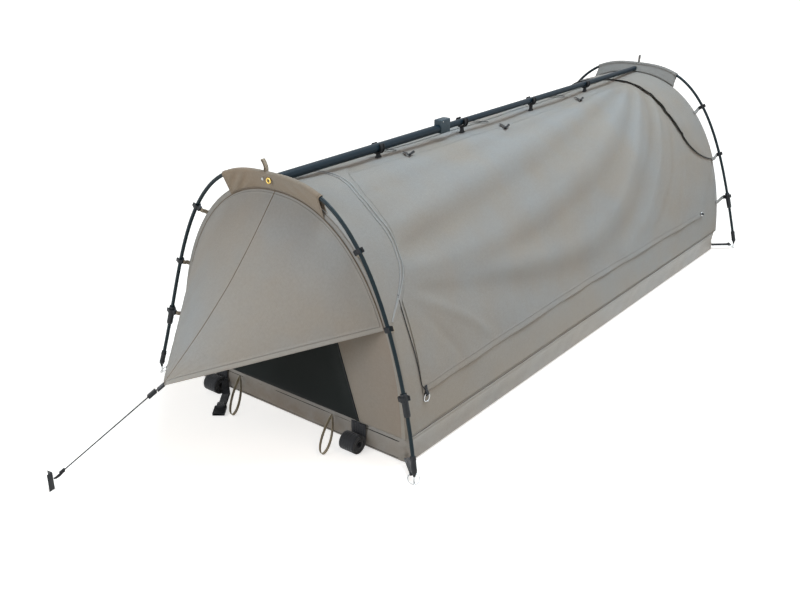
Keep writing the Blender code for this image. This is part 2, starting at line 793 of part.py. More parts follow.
def make_leg(end, side):
    """A lower leg: a moulded boot with its ground pin, the pole and the ferrule."""
    top = JOINT_HEIGHT + FERRULE_INSERT
    bottom = JOINT_HEIGHT - (FERRULE_LENGTH - FERRULE_INSERT)
    heights = [GAP, BOOT_BOTTOM, BOOT_BOTTOM, BOOT_HEIGHT, BOOT_HEIGHT]
    radii = [PIN_RADIUS, PIN_RADIUS, BOOT_RADIUS, BOOT_RADIUS, POLE_RADIUS]
    for height in np.linspace(BOOT_HEIGHT, bottom, LEG_STEPS + 1)[1:]:
        heights.append(float(height))
        radii.append(POLE_RADIUS)
    heights.extend((bottom, JOINT_HEIGHT, top))
    radii.extend((FERRULE_RADIUS, FERRULE_RADIUS, FERRULE_RADIUS))
    points = []
    for index, height in enumerate(heights):
        shift = SMALL_STEP * index / len(heights)
        point = hoop_point(side, max(height, BOOT_BOTTOM) + shift, end)
        point.z = height + shift
        points.append(point)
    name = f"{end_name(end)}_hoop_leg_{side_name(side)}"
    item = as_mesh(place(name, tube_curve(name, points, POLE_RADIUS, radii=radii), "pole"))
    bore = []
    for height in np.linspace(JOINT_HEIGHT - GAP, top + OVERRUN, 5):
        bore.append(hoop_point(side, height, end))
    name = f"{name}_bore"
    cutter = as_mesh(place_cutter(name, tube_curve(name, bore, POLE_RADIUS + PLY_GAP)))
    cut(item, cutter)


# Sleeves

def sleeve_rows(end):
    """Strips over the hoop's crown, from the end wall's face round the pole."""
    rows = []
    reach = POLE_RADIUS + SLEEVE_ROOM + CANVAS
    for y in np.linspace(-SLEEVE_HALF_WIDTH, SLEEVE_HALF_WIDTH, SLEEVE_STEPS + 1):
        rise = 1 - abs(y / HOOP_HALF_WIDTH) ** HOOP_SIDE_POWER
        height = HOOP_HEIGHT * rise ** (1 / HOOP_RISE_POWER)
        pole = Vector((hoop_plane(end, height), y, height))
        step = SMALL_STEP if y < 0 else -SMALL_STEP
        beyond = 1 - abs((y + step) / HOOP_HALF_WIDTH) ** HOOP_SIDE_POWER
        slope = (HOOP_HEIGHT * beyond ** (1 / HOOP_RISE_POWER) - height) / step
        out = Vector((0, -slope, 1)).normalized()
        angle = math.acos(-math.copysign((abs(y) / HALF_WIDTH) ** (SECTION_SIDE_POWER / 2), y))
        seam = canvas_point(end * HALF_LENGTH, angle, -SLEEVE_TAIL)
        seam.x = end * (HALF_LENGTH + GAP * 2 + CANVAS * 2)
        inner = canvas_point(end * (HALF_LENGTH - CANVAS), angle,
                             hood_top(end) + PLY_GAP + CANVAS)
        row = [seam]
        outward = Vector((end, 0, 0))
        row.append(seam.lerp(pole + outward * reach, SLEEVE_SEAM_SHARE))
        for turn in np.linspace(*SLEEVE_WRAP, SLEEVE_WRAP_POINTS):
            turn = math.radians(turn)
            row.append(pole + outward * (reach * math.cos(turn)) + out * (reach * math.sin(turn)))
        row.append(inner)
        rows.append(row)
    if end < 0:
        rows.reverse()
    return rows


def hood_top(end):
    """The outer face of a hood, above the canopy."""
    return PLY_GAP + CANVAS if end < 0 else PLY_GAP * 2 + CANVAS * 2


def make_sleeve(end):
    name = f"{end_name(end)}_sleeve"
    item = cloth(name, sleeve_rows(end), CANVAS, "canvas_tan")
    inside = (end * (HALF_LENGTH - BOOT_HEIGHT), 0, RIDGE_HEIGHT)
    outside = (end * (HALF_LENGTH + BOOT_HEIGHT * 2), 0, RIDGE_HEIGHT)
    hole = cylinder_mesh(f"{name}_eyelet", EYELET_RADIUS, inside, outside, 12)
    cut(item, place_cutter(f"{name}_eyelet", hole))


# Corner rings

def foot_direction(end, side):
    foot = hoop_point(side, BOOT_BOTTOM, end)
    corner = Vector((end * (HALF_LENGTH - TUB_CORNER), side * (HALF_WIDTH - TUB_CORNER), 0))
    away = foot - corner
    away.z = 0
    return corner, foot, away.normalized()


RING_DROP = RING_HINGE_HEIGHT - RING_WIRE - PLY_GAP
RING_TILT = math.asin(RING_DROP / (RING_RADIUS * 2))


def ring_hinge(end, side):
    """Where a corner ring's near side lies in its strap, and the way out to the foot."""
    corner, foot, away = foot_direction(end, side)
    reach = RING_RADIUS * 2 * math.cos(RING_TILT) - RING_WIRE - PIN_RADIUS - PLY_GAP * 2
    hinge = foot - away * reach
    hinge.z = RING_HINGE_HEIGHT
    return corner, hinge, away


def ribbon_eye(radius, wire, width, reach, ply):
    """A doubled ribbon whose end holds a ring's wire: its outline and its eye.

    The wire's centre lies at zero across the ribbon's middle, and curves away
    towards the ribbon's edges.
    """
    bend = wire + STRAP_EYE_ROOM
    nose = radius - math.sqrt(radius ** 2 - (width / 2) ** 2)
    outer = arc((nose, 0), bend + ply, -90, 90, 6)
    outline = [(-reach, -ply), (-bend * 2, -ply), *outer, (-bend * 2, ply), (-reach, ply)]
    eye = arc((nose, 0), bend, -90, 90, 5) + arc((0, 0), bend, 90, 270, 5)
    return outline, eye


def corner_strap(name, end, side):
    """Webbing from the tub's corner to its ring."""
    corner, hinge, away = ring_hinge(end, side)
    start = corner + away * (TUB_CORNER - CORNER_STRAP_ROOT)
    start.z = hinge.z
    outline, eye = ribbon_eye(RING_RADIUS, RING_WIRE, CORNER_STRAP_WIDTH,
                              (hinge - start).length, CORNER_STRAP)
    curve = outline_curve(f"strap_{name}", outline, CORNER_STRAP_WIDTH, eye)
    item = place_cutter(f"strap_{name}", curve)
    item.matrix_world = frame_matrix(hinge, away, (0, 0, 1))
    return as_mesh(item)


def hung_ring(name, hinge, out, radius, wire, finish="steel"):
    """A ring whose near side is its origin, and that lies along out from there."""
    bpy.ops.mesh.primitive_torus_add(major_radius=radius, minor_radius=wire,
                                     major_segments=16, minor_segments=6)
    item = bpy.context.object
    for holder in list(item.users_collection):
        holder.objects.unlink(item)
    PARTS.objects.link(item)
    item.name = name
    item.data.name = name
    item.data.materials.append(MATERIALS[finish])
    shade(item.data)
    item.data.transform(Matrix.Translation((radius, 0, 0)))
    item.matrix_world = hinge_frame(hinge, out)
    return item


def hinge_frame(hinge, out):
    """Local X along out and local Y level."""
    level = Vector((0, 0, 1)).cross(out)
    return frame_matrix(hinge, out, level)


def make_corner_rings():
    for name, end, side in corner_signs():
        corner, hinge, away = ring_hinge(end, side)
        out = away * math.cos(RING_TILT) - Vector((0, 0, math.sin(RING_TILT)))
        hung_ring(f"corner_ring_{name}", hinge, out, RING_RADIUS, RING_WIRE)


# Clips on the poles

def clip_outline(bore, gap_to_canvas, shift, lap):
    """A snap clip, its lug and its tape, in the plane square to the pole.

    Across is towards the canvas. The tape leaves the lug, crosses to the seam
    at the given shift and lies on the canvas for its lap.
    """
    outer = bore + CLIP_WALL
    mouth = CLIP_MOUTH_ANGLE / 2
    lug = min(outer + CLIP_LUG, gap_to_canvas - TAPE * 2)
    sign = math.copysign(1, shift)
    body = arc((0, 0), outer, 180 - mouth, 30, 7)
    neck = [(lug, CLIP_LUG_HALF), (lug, TAPE / 2)]
    seam = abs(shift)
    tape_out = [(gap_to_canvas - TAPE, seam), (gap_to_canvas - TAPE, seam + lap)]
    tape_back = [(gap_to_canvas, seam + lap), (gap_to_canvas, seam - TAPE)]
    lower = [(lug, -TAPE / 2), (lug, -CLIP_LUG_HALF)]
    under = arc((0, 0), outer, -30, -180 + mouth, 7)
    bore_arc = arc((0, 0), bore, -180 + mouth, 180 - mouth, 14)
    points = body + neck + tape_out + tape_back + lower + under + bore_arc
    return [(across, up * sign) for across, up in points]


def make_hoop_clips(end):
    for side in (-1, 1):
        for rank, height in enumerate(CLIP_HEIGHTS):
            on_ferrule = rank == 0
            centre = hoop_point(side, height + (FERRULE_INSERT / 2 if on_ferrule else 0.0), end)
            ahead = hoop_point(side, centre.z + SMALL_STEP, end)
            along = (ahead - centre).normalized()
            inward = Vector((end, 0, 0)).cross(along).normalized() * (-side * end)
            inward = Vector((0, inward.y, inward.z)).normalized()
            if inward.y * side > 0:
                inward = -inward
            bore = (FERRULE_RADIUS if on_ferrule else POLE_RADIUS) + PLY_GAP
            top = 0.0 if on_ferrule else hood_top(end)
            seat = canvas_distance(centre, inward, end, top) - PLY_GAP / 2
            shift = abs(centre.x) - HALF_LENGTH
            name = f"{end_name(end)}_clip_{side_name(side)}_{rank + 1}"
            points = clip_outline(bore, seat, -end * shift, TAPE_LAP)
            item = place(name, outline_curve(name, points, CLIP_WIDTH), "plastic")
            item.matrix_world = frame_matrix(centre, inward, (1, 0, 0))
            as_mesh(item)


def canvas_distance(centre, inward, end, lift):
    """How far a face of the canvas lies from a clip's tape, along the way inwards."""
    line = [canvas_point(end * HALF_LENGTH, angle, lift) for angle in STATIONS]
    lateral = Vector((0, -inward.z, inward.y))
    nearest = math.inf
    for shift in (-CLIP_WIDTH / 2, 0.0, CLIP_WIDTH / 2):
        for before, after in zip(line, line[1:]):
            first = before - centre
            last = after - centre
            low = first.dot(lateral) - shift
            high = last.dot(lateral) - shift
            if low * high > 0 or low == high:
                continue
            along = first.lerp(last, low / (low - high)).dot(inward)
            if 0 < along < nearest:
                nearest = along
    return nearest


def make_ridge_clips():
    for rank, share in enumerate(RIDGE_CLIP_SHARES):
        x = HALF_LENGTH * share
        radius = RIDGE_OUTER_RADIUS if x < CLAMP_PLACE else RIDGE_INNER_RADIUS
        bore = radius + PLY_GAP
        outer = bore + CLIP_WALL
        top = canvas_point(x, QUARTER).z + PLY_GAP
        drop = RIDGE_HEIGHT - top
        mouth = CLIP_MOUTH_ANGLE / 2
        outer_right = arc((0, 0), outer, 90 + mouth, 250, 9)
        outer_left = arc((0, 0), outer, -70, 90 - mouth, 9)
        bore_arc = arc((0, 0), bore, 90 - mouth, -270 + mouth, 18)
        neck = TAPE / 2
        foot = [(-neck, -drop + TAPE), (-RIDGE_TAB_HALF, -drop + TAPE), (-RIDGE_TAB_HALF, -drop),
                (RIDGE_TAB_HALF, -drop), (RIDGE_TAB_HALF, -drop + TAPE), (neck, -drop + TAPE)]
        if outer + TAPE > drop:
            foot = []
        name = f"ridge_clip_{rank + 1}"
        points = outer_right + foot + outer_left + bore_arc
        item = place(name, outline_curve(name, points, RIDGE_CLIP_WIDTH), "plastic")
        item.matrix_world = frame_matrix((x, 0, RIDGE_HEIGHT), (0, 1, 0), (0, 0, 1))
        as_mesh(item)


# Ridge pole

RIDGE_FRONT = -HALF_LENGTH + RIDGE_FRONT_END
RIDGE_REAR = HALF_LENGTH - RIDGE_REAR_END
CLAMP_FRONT = CLAMP_PLACE - CLAMP_LENGTH / 2
CLAMP_REAR = CLAMP_PLACE + CLAMP_LENGTH / 2


def pipe(name, start, end, radius, wall_thickness, finish, steps=20):
    profile = [(start, radius), (end, radius), (end, radius - wall_thickness),
               (start, radius - wall_thickness)]
    item = turned(name, profile, finish, steps)
    item.location.z = RIDGE_HEIGHT
    return item


def make_ridge():
    pipe("ridge_outer_tube", RIDGE_FRONT, CLAMP_FRONT + CLAMP_SEAT, RIDGE_OUTER_RADIUS,
         RIDGE_OUTER_WALL, "tube")
    inner_start = CLAMP_FRONT - RIDGE_OVERLAP
    bore = RIDGE_OUTER_RADIUS - RIDGE_OUTER_WALL - SLIDE_CLEARANCE
    inner_bore = RIDGE_INNER_RADIUS - RIDGE_INNER_WALL
    profile = [(inner_start, bore), (inner_start + BUSH_LENGTH, bore),
               (inner_start + BUSH_LENGTH, RIDGE_INNER_RADIUS), (RIDGE_REAR, RIDGE_INNER_RADIUS),
               (RIDGE_REAR, inner_bore), (inner_start, inner_bore)]
    item = turned("ridge_inner_tube", profile, "tube", 20)
    item.location.z = RIDGE_HEIGHT
    make_ridge_cap("ridge_front_cap", -1, RIDGE_FRONT, RIDGE_OUTER_RADIUS, RIDGE_OUTER_WALL)
    make_ridge_cap("ridge_rear_cap", 1, RIDGE_REAR, RIDGE_INNER_RADIUS, RIDGE_INNER_WALL)
    make_clamp()


def make_ridge_cap(name, end, face, radius, wall_thickness):
    """A moulded plug in the tube's mouth, with the spigot that takes the eyelet."""
    plug = radius - wall_thickness - GAP
    start = face + end * GAP
    shoulder = start + end * TAPE
    profile = [(face - end * CAP_PLUG, 0.0), (face - end * CAP_PLUG, plug), (start, plug),
               (start, radius), (shoulder, radius), (shoulder + end * TAPE, SPIGOT_RADIUS),
               (face + end * SPIGOT_LENGTH, SPIGOT_RADIUS),
               (face + end * (SPIGOT_LENGTH + SPIGOT_RADIUS / 2), SPIGOT_RADIUS / 2),
               (face + end * (SPIGOT_LENGTH + SPIGOT_RADIUS / 2), 0.0)]
    if end < 0:
        profile.reverse()
    item = turned(name, profile, "plastic", 16)
    item.location.z = RIDGE_HEIGHT


def make_clamp():
    """A block with a stepped bore, two ears, and an over-centre lever on a pin."""
    half = CLAMP_WIDTH / 2
    block = box_mesh("ridge_clamp_body", (CLAMP_FRONT, -half, -CLAMP_BELOW),
                     (CLAMP_REAR, half, CLAMP_TOP))
    item = place("ridge_clamp_body", block, "clamp_plastic")
    item.location.z = RIDGE_HEIGHT
    bevel = item.modifiers.new("edges", "BEVEL")
    bevel.width = CLAMP_EAR / 2
    bevel.segments = 2
    pin = CLAMP_FRONT + CLAMP_PIN_SETBACK
    cutters = (
        ("clamp_outer_bore", cylinder_mesh("a", RIDGE_OUTER_RADIUS + GAP,
                                           (CLAMP_FRONT - OVERRUN, 0, 0),
                                           (CLAMP_FRONT + CLAMP_SEAT + GAP, 0, 0), 20)),
        ("clamp_inner_bore", cylinder_mesh("b", RIDGE_INNER_RADIUS + SLIDE_CLEARANCE,
                                           (CLAMP_FRONT, 0, 0), (CLAMP_REAR + OVERRUN, 0, 0), 20)),
        ("clamp_throat", box_mesh("c", (CLAMP_FRONT + CLAMP_EAR, -half + CLAMP_EAR, CLAMP_BLOCK_TOP),
                                  (CLAMP_REAR + OVERRUN, half - CLAMP_EAR, CLAMP_TOP + OVERRUN))),
        ("clamp_pin_hole", cylinder_mesh("d", CLAMP_PIN_RADIUS + GAP,
                                         (pin, -half - OVERRUN, clamp_pin_height()),
                                         (pin, half + OVERRUN, clamp_pin_height()), 12)),
    )
    for name, mesh in cutters:
        cutter = place_cutter(name, mesh)
        cutter.location.z = RIDGE_HEIGHT
        cut(item, cutter)
    make_clamp_lever()


def clamp_pin_height():
    return (CLAMP_BLOCK_TOP + CLAMP_TOP) / 2


def make_clamp_lever():
    pin = Vector((CLAMP_FRONT + CLAMP_PIN_SETBACK, 0, RIDGE_HEIGHT + clamp_pin_height()))
    half = CLAMP_WIDTH / 2
    width = CLAMP_WIDTH - CLAMP_EAR * 2 - GAP * 4
    radius = clamp_pin_height() - CLAMP_BLOCK_TOP - GAP
    reach = CLAMP_REAR - pin.x
    nose = arc((0, 0), radius, 90, 270, 8)
    tail = [(reach, -radius), (reach + TAPE, -radius / 2), (reach + TAPE, radius)]
    points = nose + tail
    name = "ridge_clamp_lever"
    item = as_mesh(place(name, outline_curve(name, points, width), "clamp_plastic"))
    item.matrix_world = frame_matrix(pin, (1, 0, 0), (0, 0, 1))
    hole = place_cutter("lever_hole", cylinder_mesh("lever_hole", CLAMP_PIN_RADIUS + GAP,
                                                    (0, -half, 0), (0, half, 0), 12))
    hole.location = pin
    cut(item, hole)
    rod = place("ridge_clamp_pin", cylinder_mesh("ridge_clamp_pin", CLAMP_PIN_RADIUS,
                                                 (0, -half + GAP, 0), (0, half - GAP, 0), 12), "steel")
    rod.location = pin


# Straps, buckle and loops on the tub's front

def winding_gap(outside, inside):
    """The least distance from a turn's inner face to the outer faces of earlier turns."""
    least = math.inf
    for index in range(ROLL_POINTS, len(inside)):
        earlier = np.array(outside[:index - ROLL_POINTS // 2])
        away = np.linalg.norm(earlier - np.array(inside[index]), axis=1)
        least = min(least, float(away.min()))
    return least


def spiral_outline():
    """Webbing rolled up from its middle, with its end running up the tub's front."""
    outside = []
    inside = []
    count = int(ROLL_TURNS * ROLL_POINTS)
    for index in range(count + 1):
        angle = 2 * math.pi * index / ROLL_POINTS
        radius = ROLL_RADIUS - ROLL_PITCH * (ROLL_TURNS - index / ROLL_POINTS)
        turn = angle - 2 * math.pi * (ROLL_TURNS % 1)
        outside.append((radius * math.cos(turn), radius * math.sin(turn)))
        inner = radius - STRAP
        inside.append((inner * math.cos(turn), inner * math.sin(turn)))
    print(f"roll straps: least gap between turns {winding_gap(outside, inside) * 1000:.2f} mm")
    rise = TUB_HEIGHT - ROLL_RADIUS - PLY_GAP * 2
    outside.append((ROLL_RADIUS, rise))
    inside.append((ROLL_RADIUS - STRAP, rise))
    return outside + list(reversed(inside))


def make_roll_straps():
    for y in ROLL_PLACES:
        name = f"roll_strap_{side_name(y)}"
        item = place(name, outline_curve(name, spiral_outline(), STRAP_WIDTH), "webbing")
        x = -HALF_LENGTH - GAP - ROLL_RADIUS
        item.matrix_world = frame_matrix((x, y, ROLL_RADIUS + PLY_GAP), (1, 0, 0), (0, 0, 1))


def make_tail():
    """The end of the left strap, laid on the ground and looped round its buckle's bar."""
    start = Vector((*TAIL_START, 0))
    end = Vector((*TAIL_END, 0))
    reach = (end - start).length
    way = (end - start).normalized()
    low = TAIL + GAP * 3
    top = low + BUCKLE_SIZE[2] + GAP * 2
    middle = (low + top - GAP * 2) / 2
    rise = (top - low) / 2 + GAP
    outer = arc((reach, middle), rise + TAIL, -90, 90, 6)
    inner = arc((reach, middle), rise, 90, -90, 6)
    lap = reach - TAIL_LAP
    points = [(0, middle - rise - TAIL), *outer, (lap, middle + rise + TAIL),
              (lap, middle + rise), *inner, (0, middle - rise)]
    item = place("strap_tail", outline_curve("strap_tail", points, TAIL_WIDTH), "webbing")
    item.matrix_world = frame_matrix(start, way, (0, 0, 1))
    make_buckle(end, way, low)


def make_buckle(end, way, low):
    """The half of a side-release buckle that the tail of the left strap holds."""
    length, wide, tall = BUCKLE_SIZE
    start = -BUCKLE_BAR - GAP * 2
    item = place("strap_buckle", box_mesh("strap_buckle", (start, -wide / 2, 0),
                                          (start + length, wide / 2, tall)), "plastic")
    turn = frame_matrix((end.x, end.y, low), way, Vector((0, 0, 1)).cross(way))
    item.matrix_world = turn
    bevel = item.modifiers.new("edges", "BEVEL")
    bevel.width = BUCKLE_WALL / 4
    bevel.segments = 2
    side = wide / 2 - BUCKLE_WALL
    window_end = start + BUCKLE_BAR + BUCKLE_WINDOW
    window = box_mesh("buckle_window", (start + BUCKLE_BAR, -side, -OVERRUN),
                      (window_end, side, tall + OVERRUN))
    throat = box_mesh("buckle_throat", (window_end + BUCKLE_WALL, -side, BUCKLE_WALL / 2),
                      (start + length + OVERRUN, side, tall - BUCKLE_WALL / 2))
    for name, mesh in (("buckle_window", window), ("buckle_throat", throat)):
        cutter = place_cutter(name, mesh)
        cutter.matrix_world = turn
        cut(item, cutter)


def make_tape_loops():
    """Carry loops: tape sewn under the tub's rim that bows out to the ground."""
    for y, (reach_x, reach_y) in zip(LOOP_PLACES, LOOP_REACHES):
        name = f"tape_loop_{side_name(y)}"
        reach = Vector((reach_x, reach_y, 0))
        centre_line = []
        for share in np.linspace(0.0, 1.0, LOOP_POINTS + 1):
            fall = math.sin(math.pi * share) ** 2
            along = reach.length * fall + (LOOP_TAPE + PLY_GAP) * share
            belly = LOOP_OPENING / 2 * math.sin(2 * math.pi * share)
            centre_line.append(Vector((along, LOOP_TOP + (LOOP_LOW - LOOP_TOP) * fall - belly)))
        outside = []
        inside = []
        for index, knot in enumerate(centre_line):
            before = centre_line[max(0, index - 1)]
            after = centre_line[min(LOOP_POINTS, index + 1)]
            way = (after - before).normalized() * (LOOP_TAPE / 2)
            outside.append((knot.x + way.y, knot.y - way.x))
            inside.append((knot.x - way.y, knot.y + way.x))
        points = outside + list(reversed(inside))
        out = reach.normalized()
        item = place(name, outline_curve(name, points, LOOP_TAPE_WIDTH), "canvas_tan")
        skew = LOOP_TAPE_WIDTH / 2 * abs(out.y) + LOOP_TAPE / 2
        item.matrix_world = frame_matrix((-HALF_LENGTH - GAP - skew, y, 0), out, (0, 0, 1))


# Guy line

def guy_way():
    tip = Vector(AWNING_TIP)
    peg = Vector(PEG_PLACE) + Vector((0, 0, ROPE_PEG_HEIGHT))
    return tip, peg, (peg - tip).normalized()


def make_guy():
    tip, peg, way = guy_way()
    side = way.cross(Vector((0, 0, 1))).normalized()
    up = side.cross(way)
    start = tip + way * (CANVAS / 2 + GAP)
    length, wide, tall = RUNNER_SIZE

    def bar(name, first, last, width, depth, finish):
        mesh = box_mesh(name, (first, -width / 2, -depth / 2), (last, width / 2, depth / 2))
        item = place(name, mesh, finish)
        item.matrix_world = frame_matrix(start, way, up.cross(way))
        return item

    bar("guy_strap", 0.0, GUY_STRAP_LENGTH, GUY_STRAP_WIDTH, TAPE * 2, "webbing")
    rope_start = GUY_STRAP_LENGTH + GAP
    total = (peg - start).length
    rope_end = total - PEG_WIDTH / 2
    points = [start + way * float(along) for along in np.linspace(rope_start, rope_end, ROPE_POINTS)]
    place("guy_rope", tube_curve("guy_rope", points, ROPE_RADIUS), "rope")
    runner_start = rope_start + RUNNER_SETBACK
    runner = bar("guy_runner", runner_start, runner_start + length, wide, tall, "plastic")
    bore = place_cutter("runner_bore", cylinder_mesh("runner_bore", ROPE_RADIUS + PLY_GAP,
                                                     start + way * (runner_start - OVERRUN),
                                                     start + way * (runner_start + length + OVERRUN), 12))
    cut(runner, bore)
    make_peg(start + way * (rope_end + GAP), way)


def make_peg(seat, way):
    """The head of an angle peg above the ground, leaning away from the pull."""
    half = PEG_WIDTH / 2
    flat = [(-half, 0.0), (0.0, half), (half, 0.0), (half - PEG_STEEL, 0.0),
            (0.0, half - PEG_FOLD), (-half + PEG_STEEL, 0.0)]
    item = place("guy_peg", outline_curve("guy_peg", flat, PEG_HEIGHT), "steel")
    out = Vector((way.x, way.y, 0)).normalized()
    across = Vector((0, 0, 1)).cross(out)
    middle = Vector((seat.x, seat.y, PEG_HEIGHT / 2 + GAP)) + out * (half + PEG_STEEL / 2)
    item.matrix_world = frame_matrix(middle, across, -out)


# Assembly

make_tub()
make_mattress()
make_canopy()
make_hoods()
make_flies()
make_walls()
make_awning()
for END in (-1, 1):
    make_hoop(END)
    make_sleeve(END)
    make_hoop_clips(END)
make_corner_rings()
make_ridge()
make_ridge_clips()
make_roll_straps()
make_tail()
make_tape_loops()
make_guy()
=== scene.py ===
"""Looks of the swag bedroll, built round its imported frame.

Metres, +Z up. +X points to the foot end, so the door is at -X, the right side
is at -Y, and the origin is the centre of the tub's underside.
"""
import math
from contextlib import contextmanager

import bmesh
import bpy
import numpy as np
from mathutils import Matrix, Vector


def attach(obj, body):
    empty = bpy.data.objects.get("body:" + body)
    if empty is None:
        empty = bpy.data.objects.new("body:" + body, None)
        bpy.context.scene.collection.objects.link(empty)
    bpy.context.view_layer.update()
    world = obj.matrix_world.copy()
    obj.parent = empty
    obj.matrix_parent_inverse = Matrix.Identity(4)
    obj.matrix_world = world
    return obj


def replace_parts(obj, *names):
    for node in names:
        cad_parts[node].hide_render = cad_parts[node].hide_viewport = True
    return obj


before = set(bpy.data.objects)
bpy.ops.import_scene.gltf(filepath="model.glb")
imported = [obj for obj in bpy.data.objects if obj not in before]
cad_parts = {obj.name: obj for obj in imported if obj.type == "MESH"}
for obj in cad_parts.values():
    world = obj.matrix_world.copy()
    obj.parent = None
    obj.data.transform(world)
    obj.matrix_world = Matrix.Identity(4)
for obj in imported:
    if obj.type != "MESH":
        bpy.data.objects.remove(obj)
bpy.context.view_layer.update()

# Sizes that the CAD source states
HALF_LENGTH = 1.075
HALF_WIDTH = 0.440
TUB_HEIGHT = 0.080
TUB_WALL = 0.003
CANVAS_HEIGHT = 0.697
CANVAS_BASE = 0.0806
CANVAS = 0.0015
MESH = 0.0008
PLY_GAP = 0.0008
SIDE_POWER = 2.18
RISE_POWER = 2.25
SIDE_SAG = 0.040
RIDGE_SAG = 0.020
HEM_HEIGHT = 0.182
HOOD_HEIGHT = 0.387
SEAM_HALF_WIDTH = 0.050
FLY_LENGTH = 2.05
HOOP_HALF_WIDTH = 0.483
HOOP_HEIGHT = 0.732
HOOP_SIDE_POWER = 2.894
HOOP_RISE_POWER = 1.363
POLE_RADIUS = 0.0055
RIDGE_HEIGHT = 0.7165
GUY_TIP = Vector((-1.470, 0.035, 0.262))
PEG_PLACE = Vector((-1.720, 0.214, 0.0225))
ROPE_RADIUS = 0.0018
STRAP_LENGTH = 0.0234
QUARTER = math.pi / 2
UP = Vector((0, 0, 1))
SIDES = {-1: "right", 1: "left"}
ENDS = {-1: "front", 1: "rear"}
CORNERS = (("front_right", -1, -1), ("front_left", -1, 1), ("rear_right", 1, -1), ("rear_left", 1, 1))


# Camera, from the photograph's own vanishing points and sizes

CAMERA_PLACE = (-2.8027, -1.7690, 1.4222)
CAMERA_RIGHT = Vector((0.6168, -0.7871, 0.0015)).normalized()
CAMERA_BACK = Vector((-0.7235, -0.5663, 0.3948))
CAMERA_LENS = 43.231
CAMERA_SENSOR = 36.0


def make_camera():
    data = bpy.data.cameras.new("camera")
    data.sensor_width = CAMERA_SENSOR
    data.lens = CAMERA_LENS
    item = bpy.data.objects.new("camera", data)
    bpy.context.scene.collection.objects.link(item)
    back = (CAMERA_BACK - CAMERA_RIGHT * CAMERA_BACK.dot(CAMERA_RIGHT)).normalized()
    turn = Matrix((CAMERA_RIGHT, back.cross(CAMERA_RIGHT), back)).transposed().to_4x4()
    item.matrix_world = Matrix.Translation(CAMERA_PLACE) @ turn
    bpy.context.scene.camera = item


make_camera()


# Node graphs

class Graph:
    """A node tree whose nodes are added by short calls."""

    def __init__(self, tree):
        self.tree = tree

    def plug(self, socket, value):
        if isinstance(value, bpy.types.NodeSocket):
            self.tree.links.new(value, socket)
        elif socket.type == "RGBA" and len(value) == 3:
            socket.default_value = (*value, 1.0)
        else:
            socket.default_value = value

    def node(self, kind, *values, **settings):
        """A node of a kind with its inputs in order, and its settings by name."""
        item = self.tree.nodes.new(f"ShaderNode{kind}")
        for name, value in settings.items():
            setattr(item, name, value)
        for socket, value in zip(item.inputs, values):
            if value is not None:
                self.plug(socket, value)
        return item

    def named(self, kind, **values):
        """A node of a kind with its inputs by name."""
        item = self.tree.nodes.new(f"ShaderNode{kind}")
        for name, value in values.items():
            self.plug(item.inputs[name], value)
        return item

    def math(self, operation, *values):
        return self.node("Math", *values, operation=operation).outputs[0]

    def times(self, first, second):
        return self.math("MULTIPLY", first, second)

    def plus(self, first, second):
        return self.math("ADD", first, second)

    def larger(self, first, second):
        return self.math("MAXIMUM", first, second)

    def size(self, value):
        return self.math("ABSOLUTE", value)

    def beats(self, value, pitch):
        """A wave between 0 and 1 that peaks once in each pitch."""
        return self.size(self.math("COSINE", self.times(value, math.pi / pitch)))

    def mix(self, share, first, second, blend="MIX"):
        item = self.node("Mix", data_type="RGBA", blend_type=blend)
        for index, value in ((0, share), (6, first), (7, second)):
            self.plug(item.inputs[index], value)
        return item.outputs[2]

    def noise(self, vector, scale, detail=2.0, rough=0.5, stretch=None):
        if stretch:
            vector = self.node("Mapping", vector, (0, 0, 0), (0, 0, 0), stretch).outputs[0]
        item = self.named("TexNoise", Vector=vector, Scale=scale, Detail=detail, Roughness=rough)
        return item.outputs["Fac"]

    def span(self, value, low, high, first=0.0, second=1.0):
        return self.node("MapRange", value, low, high, first, second).outputs[0]

    def middle(self, value, first=0.0, second=1.0):
        """first to second over the part of the range that a noise mostly fills."""
        return self.span(value, 0.3, 0.7, first, second)

    def uv(self, name):
        return self.node("UVMap", uv_map=name).outputs[0]

    def parts(self, vector):
        return self.node("SeparateXYZ", vector).outputs

    def place(self, kind="Object"):
        return self.node("TexCoord").outputs[kind]

    def bump(self, height, distance, strength=1.0, normal=None):
        item = self.named("Bump", Strength=strength, Distance=distance, Height=height)
        if normal is not None:
            self.plug(item.inputs["Normal"], normal)
        return item.outputs[0]

    def band(self, value, centre, half):
        """1 within half of centre, with a soft edge."""
        away = self.size(self.math("SUBTRACT", value, centre))
        return self.span(away, half, half * 0.5)


class Finish(Graph):
    """A material's graph, with its shader."""

    def __init__(self, name):
        self.material = bpy.data.materials.new(name)
        self.material.use_nodes = True
        super().__init__(self.material.node_tree)

    def set(self, **values):
        """Sets the shader's sockets and gives back the material."""
        shader = self.tree.nodes["Principled BSDF"]
        for name, value in values.items():
            self.plug(shader.inputs[name.replace("_", " ")], value)
        return self.material


def brighter(colour, share, more=0.0):
    return tuple(min(1.0, c * share + more) for c in colour)


# Cloth, webbing, cord, metal and plastic

STITCH = 0.0042
STITCH_SHARE = 0.74
THREAD_HALF = 0.0007
GROOVE_SHADE_HALF = 0.0022
WORN_EDGE = 0.0022
HEM_ROWS = (0.0170,)
FLAP_ROWS = (0.0125,)
SEAM_ROWS = (0.0045,)
# Spans in X and Y over which the tub's painted shade grows: onto its front face under the awning, and from
# its near end towards its left, where the awning's shade falls.
FRONT_SHADE_SPAN = (-0.96, -1.06)
AWNING_SHADE_SPAN = (-0.44, -0.10)


